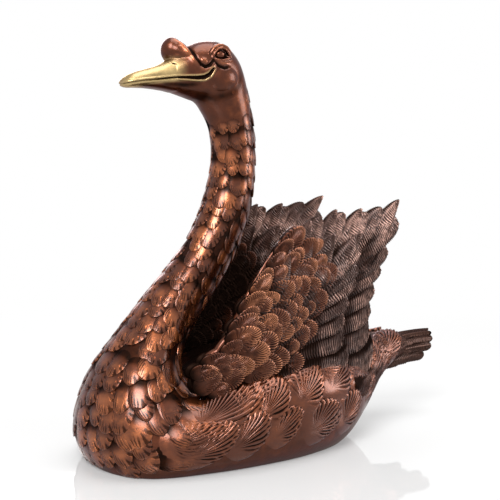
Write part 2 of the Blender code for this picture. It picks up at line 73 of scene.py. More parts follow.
class Barbs(Enum):
    """How a feather's barbs are cut: where they spring from along it, where they start, how close they lie
    and how far they swirl."""

    NONE = (0.0, 0.0, 0.0, 0.0)
    COMB = (0.2, 0.66, 32.0, 0.5)
    SWEPT = (-0.3, 0.55, 80.0, 0.12)


def smooth(low: Number, high: Number, value: Number) -> Number:
    """Smooth step of a value between two limits."""
    share = np.clip((value - low) / (high - low), 0, 1)
    return share * share * (3 - 2 * share)


def lerp(a: Number, b: Number, share: Number) -> Number:
    """Value that lies the given share of the way from a to b."""
    return a + (b - a) * share


def unit(vectors: np.ndarray) -> np.ndarray:
    """Vectors scaled to length one along their last axis."""
    return vectors / np.maximum(np.linalg.norm(vectors, axis=-1, keepdims=True), 1e-12)


@dataclass(frozen=True)
class Torso:
    """Skin of the rump, hull, neck and head, lofted through the side profile.

    Attributes:
        step: Small step along it and round it, from which its directions are taken.
    """

    step: float = 0.02

    def section(self, t: np.ndarray) -> np.ndarray:
        """Profile rows at t on the smooth curve through the rows.

        Args:
            t: Places along the profile, counted in rows.

        Returns:
            One row of values for each place.
        """
        padded = np.vstack([2 * PROFILE[0] - PROFILE[1], PROFILE, 2 * PROFILE[-1] - PROFILE[-2]])
        i = np.clip(np.floor(t).astype(int), 0, len(PROFILE) - 2)
        u = (t - i)[..., None]
        a, b, c, d = (padded[i + k] for k in range(4))
        return 0.5 * (2 * b + (c - a) * u + (2 * a - 5 * b + 4 * c - d) * u**2 + (3 * (b - c) + d - a) * u**3)

    def point(self, t: np.ndarray, turn: np.ndarray, inset: float = 0.0) -> np.ndarray:
        """Points of the skin in metres.

        Args:
            t: Places along the profile.
            turn: Angles from the belly round to the back.
            inset: Distance in mm that the skin is taken in by.

        Returns:
            Array of points with the shape of t and turn together.
        """
        t, turn = np.broadcast_arrays(np.asarray(t, float), np.asarray(turn, float))
        row = self.section(t)
        belly, back = row[..., 0:2], row[..., 2:4]
        down, side = np.cos(turn), np.sin(turn)
        power = np.where(down > 0, row[..., 5], row[..., 6])
        length = np.linalg.norm(belly - back, axis=-1)
        depth = np.sign(down) * np.abs(down) ** (2 / power) * (length / 2 - inset)
        width = np.sign(side) * np.abs(side) ** (2 / power) * (row[..., 4] - inset)
        middle = (belly + back) / 2 + (belly - back) / length[..., None] * depth[..., None]
        return np.stack([middle[..., 0], width, middle[..., 1]], axis=-1) * MM

    def rearward(self, t: np.ndarray, turn: np.ndarray) -> np.ndarray:
        """Directions along the skin towards the tail."""
        return unit(self.point(t - self.step, turn) - self.point(t + self.step, turn))

    def normal(self, t: np.ndarray, turn: np.ndarray) -> np.ndarray:
        """Outward directions of the skin.

        Args:
            t: Places along the profile.
            turn: Angles from the belly round to the back.

        Returns:
            One direction of length one for each place.
        """
        around = self.point(t, turn + self.step) - self.point(t, turn - self.step)
        normal = unit(np.cross(self.rearward(t, turn), around))
        outward = self.point(t, turn) - self.point(t, turn, 1.0)
        return normal * np.sign(np.sum(normal * outward, axis=-1, keepdims=True))


TORSO = Torso()


def shaded_hollow(points: np.ndarray) -> np.ndarray:
    """How deep each point lies in the hollow between the neck and the wings, which the materials darken as painted
    shade.

    Args:
        points: Points in metres.

    Returns:
        One share from 0 to 1 for each point.
    """
    x, y, z = np.moveaxis(points / MM, -1, 0)
    nape = np.interp(z, PROFILE[8:17, 3], PROFILE[8:17, 2])
    between = smooth(0.0, -3.0, np.abs(y) - WingSheet(1.0).middle(x, z)) * smooth(-6, 8, x - nape)
    rear = lerp(10, 48, smooth(84, 104, z))
    return between * smooth(rear, rear - 55, x) * smooth(172, 122, z) * smooth(48, 60, z)


def put(mesh: bpy.types.Mesh, name: str, values: np.ndarray) -> None:
    """Stores one number or one vector for each point of a mesh.

    Args:
        mesh: Where they are stored.
        name: Name that the materials read them by.
        values: One number or one vector for each point.
    """
    kind = "FLOAT_VECTOR" if values.ndim == 2 else "FLOAT"
    made = mesh.attributes.new(name, kind, "POINT")
    field = "vector" if values.ndim == 2 else "value"
    made.data.foreach_set(field, np.ascontiguousarray(values, float).ravel())


def new_object(
    name: str, mesh: bpy.types.Mesh, finish: bpy.types.Material | None = None
) -> bpy.types.Object:
    """Object of a mesh in the scene, shaded smooth.

    Args:
        name: Name of the object.
        mesh: Its mesh.
        finish: Its material, if it has one.

    Returns:
        The object.
    """
    obj = bpy.data.objects.new(name, mesh)
    bpy.context.scene.collection.objects.link(obj)
    mesh.shade_smooth()
    if finish:
        mesh.materials.append(finish)
    return obj


def settle(obj: bpy.types.Object, node: str) -> None:
    """Rides a finished piece on the statue in place of a CAD node, and reports it.

    Args:
        obj: The piece.
        node: CAD node that it stands for.
    """
    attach(obj, ROOT)
    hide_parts(node)
    LOG.info("%s stands for %s with %d faces", obj.name, node, len(obj.data.polygons))


def make_plain(obj: bpy.types.Object) -> None:
    """Gives an object the mesh that its modifiers make, and removes them.

    Args:
        obj: The object.
    """
    bpy.context.view_layer.update()
    depsgraph = bpy.context.evaluated_depsgraph_get()
    mesh = bpy.data.meshes.new_from_object(obj.evaluated_get(depsgraph))
    obj.modifiers.clear()
    obj.data = mesh


def cut_off(bm: bmesh.types.BMesh, place: tuple, outward: tuple) -> tuple[list, list]:
    """Takes away what lies beyond a plane and closes the cut.

    Args:
        bm: What is cut.
        place: Point of the plane, in mm.
        outward: Direction towards what is taken away.

    Returns:
        The edges round the cut, and the faces that close it.
    """
    everything = list(bm.verts) + list(bm.edges) + list(bm.faces)
    bmesh.ops.bisect_plane(bm, geom=everything, plane_co=Vector(place) * MM, plane_no=outward, clear_outer=True)
    rim = [edge for edge in bm.edges if edge.is_boundary]
    return rim, bmesh.ops.holes_fill(bm, edges=rim, sides=0)["faces"]


class Shell:
    """Points, faces and attributes of a mesh, gathered from several grids."""

    def __init__(self) -> None:
        """Starts with nothing."""
        self.points: list[np.ndarray] = []
        self.faces: list[list[int]] = []
        self.marks: dict[str, list[np.ndarray]] = {}
        self.count = 0

    def add(self, points: np.ndarray, faces: np.ndarray, caps: tuple = (), **marks: np.ndarray) -> None:
        """Adds points with the faces between them.

        Args:
            points: Points in metres.
            faces: Four point numbers for each quad.
            caps: Point numbers of each face with more corners.
            marks: Values of each mark, one for all the points or one for each.
        """
        self.points.append(points)
        self.faces.extend((faces + self.count).tolist())
        self.faces.extend([corner + self.count for corner in cap] for cap in caps)
        for name, values in marks.items():
            self.marks.setdefault(name, []).append(np.broadcast_to(values, len(points)))
        self.count += len(points)

    def add_tube(self, rings: np.ndarray) -> None:
        """Adds a tube that is closed at both ends.

        Args:
            rings: Points of each ring in turn, in metres.
        """
        rows, sides = rings.shape[:2]
        ends = [list(range(sides)), list(range((rows - 1) * sides, rows * sides))]
        self.add(rings.reshape(-1, 3), grid_faces(rows, sides, closed=True), caps=ends)

    def mesh(self, name: str) -> bpy.types.Mesh:
        """Mesh of everything that was added, with its doubles merged and its faces turned outwards.

        Args:
            name: Name of the mesh.

        Returns:
            The mesh.
        """
        mesh = bpy.data.meshes.new(name)
        mesh.from_pydata(np.concatenate(self.points).tolist(), [], self.faces)
        for mark, values in self.marks.items():
            put(mesh, mark, np.concatenate(values))
        bm = bmesh.new()
        bm.from_mesh(mesh)
        bmesh.ops.remove_doubles(bm, verts=bm.verts, dist=MERGE_GAP)
        bmesh.ops.recalc_face_normals(bm, faces=bm.faces)
        bm.to_mesh(mesh)
        bm.free()
        return mesh

    def settle(self, name: str, finish: bpy.types.Material, node: str) -> None:
        """Makes a copper piece of everything that was added.

        Args:
            name: Name of the piece.
            finish: Its material.
            node: CAD node that it stands for.
        """
        settle(new_object(name, self.mesh(name), finish), node)


def grid_faces(rows: int, columns: int, closed: bool = False) -> np.ndarray:
    """Quads of a grid of points that is listed row by row.

    Args:
        rows: Number of rows of points.
        columns: Number of points in a row.
        closed: Whether each row runs round to its start.

    Returns:
        Array of four point numbers for each quad.
    """
    r, c = np.meshgrid(np.arange(rows - 1), np.arange(columns if closed else columns - 1), indexing="ij")
    here, above = r * columns, (r + 1) * columns
    right = (c + 1) % columns
    return np.stack([here + c, here + right, above + right, above + c], -1).reshape(-1, 4)


def grid_rim(rows: int, columns: int) -> np.ndarray:
    """Numbers of the points round the edge of a grid, in order.

    Args:
        rows: Number of rows of points.
        columns: Number of points in a row.

    Returns:
        Each point of the edge once.
    """
    top = np.arange(rows * columns).reshape(rows, columns)
    return np.concatenate([top[:, 0], top[-1, 1:], top[::-1, -1][1:], top[0, ::-1][1:-1]])


def skirt_below(count: int, rim: np.ndarray) -> tuple[np.ndarray, list[int]]:
    """Faces of a skirt from the edge of a feather to points that are listed after its own.

    Args:
        count: Number of the feather's own points.
        rim: Numbers of the points round its edge.

    Returns:
        The quads of the skirt, and the corners of the cap that closes it.
    """
    below = count + np.arange(len(rim))
    return np.stack([rim, np.roll(rim, -1), np.roll(below, -1), below], -1), below.tolist()


class Colour(Enum):
    """Colours of the metal, written as linear values."""

    CREST = (0.256, 0.071, 0.021)
    BRIGHT_CREST = (0.340, 0.100, 0.032)
    FLANK_CREST = (0.182, 0.047, 0.013)
    BROWN = (0.086, 0.0205, 0.0065)
    GREY = (0.050, 0.021, 0.015)
    RUBBED_GREY = (0.410, 0.226, 0.175)
    GOLD = (0.325, 0.118, 0.050)
    PIT = (0.006, 0.0025, 0.0015)
    BRASS = (0.40, 0.285, 0.125)
    DARK_CREST = (0.078, 0.036, 0.025)
    DARK_SIDE = (0.030, 0.013, 0.009)
    STEEL = (0.45, 0.45, 0.46)
    FELT = (0.06, 0.03, 0.02)
    FLOOR = (0.56, 0.56, 0.56)


Source = bpy.types.NodeSocket | float | tuple


class NodeTree:
    """Short way to add nodes to a tree and join them."""

    def __init__(self, tree: bpy.types.NodeTree) -> None:
        """Takes the tree that the nodes go into."""
        self.tree = tree

    def node(self, kind: str, **settings: object) -> bpy.types.Node:
        """New node.

        Args:
            kind: Its type.
            settings: Its settings by name.

        Returns:
            The node.
        """
        made = self.tree.nodes.new(kind)
        for name, value in settings.items():
            setattr(made, name, value)
        return made

    def feed(self, socket: bpy.types.NodeSocket, source: Source) -> None:
        """Joins a socket to another socket, or sets its value.

        Args:
            socket: Input that is fed.
            source: Output or value that feeds it.
        """
        if isinstance(source, bpy.types.NodeSocket):
            self.tree.links.new(source, socket)
        else:
            socket.default_value = source

    def maths(self, operation: str, a: Source, b: Source = 0.0, c: Source = 0.0) -> bpy.types.NodeSocket:
        """Result of a sum on numbers.

        Args:
            operation: What is done with them.
            a: First number.
            b: Second number.
            c: Third number.

        Returns:
            Output with the result.
        """
        made = self.node("ShaderNodeMath", operation=operation)
        for socket, source in zip(made.inputs, (a, b, c)):
            self.feed(socket, source)
        return made.outputs[0]

    def step(self, value: Source, low: float, high: float) -> bpy.types.NodeSocket:
        """Smooth step of a number between two limits.

        Args:
            value: The number.
            low: Where the step starts.
            high: Where it ends.

        Returns:
            Output from 0 to 1.
        """
        made = self.node("ShaderNodeMapRange", interpolation_type="SMOOTHSTEP")
        self.feed(made.inputs["Value"], value)
        self.feed(made.inputs["From Min"], low)
        self.feed(made.inputs["From Max"], high)
        return made.outputs["Result"]

    def blend(self, share: Source, a: Source, b: Source) -> bpy.types.NodeSocket:
        """Colour that lies between two others.

        Args:
            share: Share of the way from the first to the second.
            a: First colour.
            b: Second colour.

        Returns:
            Output with the colour.
        """
        made = self.node("ShaderNodeMix", data_type="RGBA")
        self.feed(made.inputs[0], share)
        self.feed(made.inputs[6], a)
        self.feed(made.inputs[7], b)
        return made.outputs[2]

    def noise(self, scale: float, detail: float = 4.0) -> bpy.types.NodeSocket:
        """Even noise over the piece.

        Args:
            scale: How finely it lies.
            detail: How much finer noise is laid over it.

        Returns:
            Output from 0 to 1.
        """
        place = self.node("ShaderNodeTexCoord")
        made = self.node("ShaderNodeTexNoise")
        self.feed(made.inputs["Vector"], place.outputs["Object"])
        made.inputs["Scale"].default_value = scale
        made.inputs["Detail"].default_value = detail
        return made.outputs["Fac"]

    def mark(self, name: str) -> bpy.types.NodeSocket:
        """Number that the mesh stores for each point."""
        return self.node("ShaderNodeAttribute", attribute_name=name).outputs["Fac"]


def group_of(name: str, inputs: dict[str, str], outputs: dict[str, str]) -> tuple[NodeTree, dict, dict]:
    """Empty shader group with named sockets.

    Args:
        name: Name of the group.
        inputs: Socket kind of each input.
        outputs: Socket kind of each output.

    Returns:
        The group's tree, its input sockets by name and its output sockets by name.
    """
    tree = bpy.data.node_groups.new(name, "ShaderNodeTree")
    for side, sockets in (("INPUT", inputs), ("OUTPUT", outputs)):
        for label, kind in sockets.items():
            tree.interface.new_socket(label, in_out=side, socket_type=kind)
    entry = tree.nodes.new("NodeGroupInput")
    leaving = tree.nodes.new("NodeGroupOutput")
    get = {label: entry.outputs[label] for label in inputs}
    out = {label: leaving.inputs[label] for label in outputs}
    return NodeTree(tree), get, out


FLOAT = "NodeSocketFloat"
COLOUR = "NodeSocketColor"


def patina_group() -> bpy.types.NodeTree:
    """Group that colours chased metal: dark in its pits, brown on its sides and rubbed bright on its crests, and
    darkened as painted shade in the hollow between the neck and the wings.

    Returns:
        The group.
    """
    inputs = {label: FLOAT for label in ("Relief", "Grime", "Groove", "Tone", "Gloss")}
    inputs |= {label: COLOUR for label in ("Crest", "Side", "Pit")}
    outputs = {"Colour": COLOUR, "Roughness": FLOAT, "Coat": FLOAT}
    tree, get, out = group_of("chased_patina", inputs, outputs)
    mottle = tree.maths("MULTIPLY_ADD", tree.noise(150.0), 0.7, -0.35)
    cloud = tree.maths("MULTIPLY_ADD", tree.noise(30.0, 3.0), 0.8, -0.4)
    # Painted shade: the relief is lowered in the hollow between the neck and the wings.
    unshaded = tree.maths("MULTIPLY_ADD", get["Grime"], -0.9, 1.0)
    relief = tree.maths("MULTIPLY", get["Relief"], unshaded)
    mottled_relief = tree.maths("MULTIPLY_ADD", mottle, 0.5, relief)
    low = tree.blend(tree.step(mottled_relief, 0.1, 0.58), get["Pit"], get["Side"])
    uneven = tree.maths("ADD", mottle, cloud)
    worn = tree.maths("ADD", tree.maths("MULTIPLY_ADD", get["Tone"], 0.25, uneven), relief)
    rubbed = tree.blend(tree.step(worn, 0.45, 1.1), low, get["Crest"])
    cut = tree.maths("MULTIPLY", get["Groove"], 0.75)
    tree.feed(out["Colour"], tree.blend(cut, rubbed, get["Pit"]))
    raised = tree.step(relief, 0.1, 0.7)
    dull = tree.maths("MULTIPLY_ADD", raised, -0.22, 0.5)
    tree.feed(out["Roughness"], tree.maths("MULTIPLY_ADD", mottle, 0.2, dull))
    open_cut = tree.maths("SUBTRACT", 1.0, cut)
    tree.feed(out["Coat"], tree.maths("MULTIPLY", tree.maths("MULTIPLY", raised, open_cut), get["Gloss"]))
    return tree.tree


def barb_group() -> bpy.types.NodeTree:
    """Group that cuts grooves towards the rim of a feather, like the teeth of a comb.

    Returns:
        The group.
    """
    names = ("Spring", "Start", "Count", "Swirl")
    tree, get, out = group_of("cut_barbs", {name: FLOAT for name in names}, {"Groove": FLOAT})
    across, along = tree.mark("across"), tree.mark("along")
    ahead = tree.maths("SUBTRACT", along, get["Spring"])
    angle = tree.maths("ARCTAN2", tree.maths("MULTIPLY", across, 0.36), ahead)
    reach = tree.maths("DIVIDE", ahead, tree.maths("SUBTRACT", 1.0, get["Spring"]))
    squares = tree.maths("MULTIPLY_ADD", across, across, tree.maths("MULTIPLY", reach, reach))
    radius = tree.maths("SQRT", squares)
    swirled = tree.maths("MULTIPLY_ADD", radius, get["Swirl"], angle)
    wobble = tree.maths("MULTIPLY", tree.noise(130.0, 2.0), 4.0)
    wave = tree.maths("SINE", tree.maths("MULTIPLY_ADD", swirled, get["Count"], wobble))
    ragged = tree.maths("MULTIPLY_ADD", tree.noise(110.0), 0.6, -0.3)
    rim = tree.maths("SUBTRACT", tree.maths("ADD", radius, ragged), get["Start"])
    groove = tree.maths("MULTIPLY", tree.step(wave, -0.05, 0.7), tree.step(rim, 0.0, 0.25))
    tree.feed(out["Groove"], groove)
    return tree.tree


@dataclass(frozen=True)
class Patina:
    """Finish of a chased and rubbed casting.

    Attributes:
        name: Name of the material.
        crest: Colour of what is rubbed bright.
        side: Colour of what is left brown.
        barbs: How its feathers are cut.
        bump: Depth of the cuts in metres.
        gloss: How thick its lacquer is on what is rubbed bright.
        gilded: Whether its gilt parts are brass.
        metallic: How far it is bare metal.
        coat_roughness: Roughness of its lacquer.
        coat_ior: How strongly its lacquer bends light.
        tint: Colour of its shine at a low angle.
    """

    name: str
    crest: Colour = Colour.CREST
    side: Colour = Colour.BROWN
    barbs: Barbs = Barbs.NONE
    bump: float = 0.0005
    gloss: float = 0.65
    gilded: bool = False
    metallic: float = 0.88
    coat_roughness: float = 0.2
    coat_ior: float = 1.4
    tint: tuple = (0.45, 0.30, 0.24)

    def material(self) -> bpy.types.Material:
        """Material of this finish.

        Returns:
            The material.
        """
        made = bpy.data.materials.new(self.name)
        made.use_nodes = True
        tree = NodeTree(made.node_tree)
        shader = made.node_tree.nodes["Principled BSDF"]
        shader.inputs["Metallic"].default_value = self.metallic
        shader.inputs["Coat Roughness"].default_value = self.coat_roughness
        shader.inputs["Coat IOR"].default_value = self.coat_ior
        shader.inputs["Specular Tint"].default_value = (*self.tint, 1)
        patina = tree.node("ShaderNodeGroup", node_tree=bpy.data.node_groups["chased_patina"])
        for label in ("Relief", "Tone", "Grime"):
            tree.feed(patina.inputs[label], tree.mark(label.lower()))
        tree.feed(patina.inputs["Gloss"], self.gloss)
        crest, side = (*self.crest.value, 1), (*self.side.value, 1)
        if self.gilded:
            gilt = tree.mark("gilt")
            crest = tree.blend(gilt, crest, (*Colour.BRASS.value, 1))
            side = tree.blend(gilt, side, (*Colour.BRASS.value, 1))
        tree.feed(patina.inputs["Crest"], crest)
        tree.feed(patina.inputs["Side"], side)
        tree.feed(patina.inputs["Pit"], (*Colour.PIT.value, 1))
        for label, source in (("Base Color", "Colour"), ("Roughness", "Roughness"), ("Coat Weight", "Coat")):
            tree.feed(shader.inputs[label], patina.outputs[source])
        grain = tree.maths("MULTIPLY", tree.noise(420.0, 3.0), 0.25)
        height = grain
        if self.barbs is not Barbs.NONE:
            cut = tree.node("ShaderNodeGroup", node_tree=bpy.data.node_groups["cut_barbs"])
            for socket, value in zip(cut.inputs, self.barbs.value):
                socket.default_value = value
            tree.feed(patina.inputs["Groove"], cut.outputs["Groove"])
            height = tree.maths("SUBTRACT", grain, cut.outputs["Groove"])
        bump = tree.node("ShaderNodeBump")
        bump.inputs["Distance"].default_value = self.bump
        tree.feed(bump.inputs["Height"], height)
        tree.feed(shader.inputs["Normal"], bump.outputs["Normal"])
        return made


@dataclass(frozen=True)
class Plain:
    """Finish of the hidden plate, screws and felt.

    Attributes:
        name: Name of the material.
        colour: Its colour.
        roughness: Its mean roughness.
        metallic: Whether it is metal.
        grain: How finely its grain lies.
        bump: Depth of its grain in metres.
    """

    name: str
    colour: Colour
    roughness: float
    metallic: float
    grain: float
    bump: float = 0.0003

    def material(self) -> bpy.types.Material:
        """Material of this finish.

        Returns:
            The material.
        """
        made = bpy.data.materials.new(self.name)
        made.use_nodes = True
        tree = NodeTree(made.node_tree)
        shader = made.node_tree.nodes["Principled BSDF"]
        shader.inputs["Metallic"].default_value = self.metallic
        grain = tree.noise(self.grain, 5.0)
        dark = tuple(0.55 * part for part in self.colour.value)
        tree.feed(shader.inputs["Base Color"], tree.blend(grain, (*dark, 1), (*self.colour.value, 1)))
        tree.feed(shader.inputs["Roughness"], tree.maths("MULTIPLY_ADD", grain, 0.3, self.roughness - 0.15))
        bump = tree.node("ShaderNodeBump")
        bump.inputs["Distance"].default_value = self.bump
        tree.feed(bump.inputs["Height"], grain)
        tree.feed(shader.inputs["Normal"], bump.outputs["Normal"])
        return made


@dataclass(frozen=True)
class FeatherPattern:
    """One feather of length one that points along Y, to be set out over a skin.

    Attributes:
        name: Name of the pattern.
        columns: Points across it.
        rows: Points along it.
        widest: Share of its length at which it is widest.
        root: Width of its root beside its widest.
        roundness: Power that rounds its tip.
    """

    name: str
    columns: int = 9
    rows: int = 8
    widest: float = 0.5
    root: float = 0.7
    roundness: float = 1.9

    def outline(self, along: np.ndarray) -> np.ndarray:
        """Half width along the feather.

        Args:
            along: Shares of the length, from 0 to 1.

        Returns:
            Half width at each share, beside the greatest.
        """
        swell = lerp(self.root, 1.0, smooth(0, self.widest, along))
        past = np.clip((along - self.widest) / (1 - self.widest), 0, 1)
        return swell * (1 - past**self.roundness) ** (1 / self.roundness)

    def build(self) -> bpy.types.Object:
        """Object of the pattern, with its lift and its marks stored for each point.

        Returns:
            The object.
        """
        along = TIP_END - TIP_END * (1 - np.linspace(0, 1, self.rows)) ** 1.35
        across = np.sin(np.linspace(-0.5, 0.5, self.columns) * np.pi)
        along, across = np.meshgrid(along, across, indexing="ij")
        dome = (1 - across**2) * np.sin(np.pi * np.clip(along, 0, 1) ** 0.9)
        edge = smooth(0.8, 1.0, np.maximum(np.abs(across), along))
        lift = -0.7 + 1.55 * along + 0.35 * dome - 0.12 * edge
        # Crest and rim are rubbed brighter. The root, which the feather before it lies over, is painted darker as
        # shade.
        relief = (0.45 + 0.4 * dome + 0.25 * edge) * lerp(0.22, 1.0, smooth(0.4, 0.64, along))
        x = 0.5 * self.outline(along) * across
        points = np.stack([x, along - 0.35, np.zeros_like(x)], -1).reshape(-1, 3)
        rim = grid_rim(self.rows, self.columns)
        skirt, cap = skirt_below(len(points), rim)
        faces = np.concatenate([grid_faces(self.rows, self.columns), skirt]).tolist()
        marks = {"lift": lift, "relief": np.clip(relief, 0, 1), "across": across, "along": along}
        marks = {name: np.concatenate([v.ravel(), v.ravel()[rim]]) for name, v in marks.items()}
        marks["lift"][len(points):] = -1.4
        # The skirt under the rim is painted dark, as shade beneath the feather's edge.
        marks["relief"][len(points):] = 0.0
        mesh = bpy.data.meshes.new(self.name)
        mesh.from_pydata(np.concatenate([points, points[rim]]).tolist(), [], [*faces, cap])
        for mark, values in marks.items():
            put(mesh, mark, values)
        return new_object(self.name, mesh)


def coat_tree() -> bpy.types.NodeTree:
    """Geometry nodes that set a feather on every point and lay it on the skin beneath.

    Returns:
        The tree.
    """
    tree = bpy.data.node_groups.new("feather_coat", "GeometryNodeTree")
    sockets = (("Geometry", "Geometry"), ("Skin", "Object"), ("Feather", "Object"), ("Finish", "Material"))
    for label, kind in sockets:
        tree.interface.new_socket(label, in_out="INPUT", socket_type="NodeSocket" + kind)
    tree.interface.new_socket("Geometry", in_out="OUTPUT", socket_type="NodeSocketGeometry")
    nodes = NodeTree(tree)
    entry = nodes.node("NodeGroupInput").outputs
    leaving = nodes.node("NodeGroupOutput").inputs

    def stored(name: str, kind: str) -> bpy.types.NodeSocket:
        """Attribute that the points or the feather store.

        Args:
            name: Its name.
            kind: Its type.

        Returns:
            Output with the attribute.
        """
        made = nodes.node("GeometryNodeInputNamedAttribute", data_type=kind)
        made.inputs["Name"].default_value = name
        return made.outputs["Attribute"]

    upright = nodes.node("FunctionNodeAlignRotationToVector", axis="Z")
    nodes.feed(upright.inputs["Vector"], stored("feather_normal", "FLOAT_VECTOR"))
    facing = nodes.node("FunctionNodeAlignRotationToVector", axis="Y", pivot_axis="Z")
    nodes.feed(facing.inputs["Rotation"], upright.outputs["Rotation"])
    nodes.feed(facing.inputs["Vector"], stored("feather_direction", "FLOAT_VECTOR"))
    feather = nodes.node("GeometryNodeObjectInfo")
    nodes.feed(feather.inputs["Object"], entry["Feather"])
    spread = nodes.node("GeometryNodeInstanceOnPoints")
    nodes.feed(spread.inputs["Points"], entry["Geometry"])
    nodes.feed(spread.inputs["Instance"], feather.outputs["Geometry"])
    nodes.feed(spread.inputs["Rotation"], facing.outputs["Rotation"])
    nodes.feed(spread.inputs["Scale"], stored("feather_size", "FLOAT_VECTOR"))
    real = nodes.node("GeometryNodeRealizeInstances")
    nodes.feed(real.inputs["Geometry"], spread.outputs["Instances"])
    skin = nodes.node("GeometryNodeObjectInfo")
    nodes.feed(skin.inputs["Object"], entry["Skin"])

    def nearest(value: bpy.types.NodeSocket) -> bpy.types.NodeSocket:
        """Value of the skin at its point nearest to each point of a feather.

        Args:
            value: Output with the value.

        Returns:
            Output with the value that was found.
        """
        made = nodes.node("GeometryNodeSampleNearestSurface", data_type="FLOAT_VECTOR")
        nodes.feed(made.inputs["Mesh"], skin.outputs["Geometry"])
        nodes.feed(made.inputs["Value"], value)
        return made.outputs["Value"]

    height = nodes.maths("MULTIPLY_ADD", stored("lift", "FLOAT"), stored("feather_height", "FLOAT"),
                         stored("feather_base", "FLOAT"))
    raised = nodes.node("ShaderNodeVectorMath", operation="SCALE")
    nodes.feed(raised.inputs[0], nearest(stored("skin_normal", "FLOAT_VECTOR")))
    nodes.feed(raised.inputs["Scale"], height)
    laid = nodes.node("ShaderNodeVectorMath", operation="ADD")
    nodes.feed(laid.inputs[0], nearest(nodes.node("GeometryNodeInputPosition").outputs["Position"]))
    nodes.feed(laid.inputs[1], raised.outputs[0])
    place = nodes.node("GeometryNodeSetPosition")
    nodes.feed(place.inputs["Geometry"], real.outputs["Geometry"])
    nodes.feed(place.inputs["Position"], laid.outputs[0])
    dress = nodes.node("GeometryNodeSetMaterial")
    nodes.feed(dress.inputs["Geometry"], place.outputs["Geometry"])
    nodes.feed(dress.inputs["Material"], entry["Finish"])
    nodes.feed(leaving["Geometry"], dress.outputs["Geometry"])
    return tree


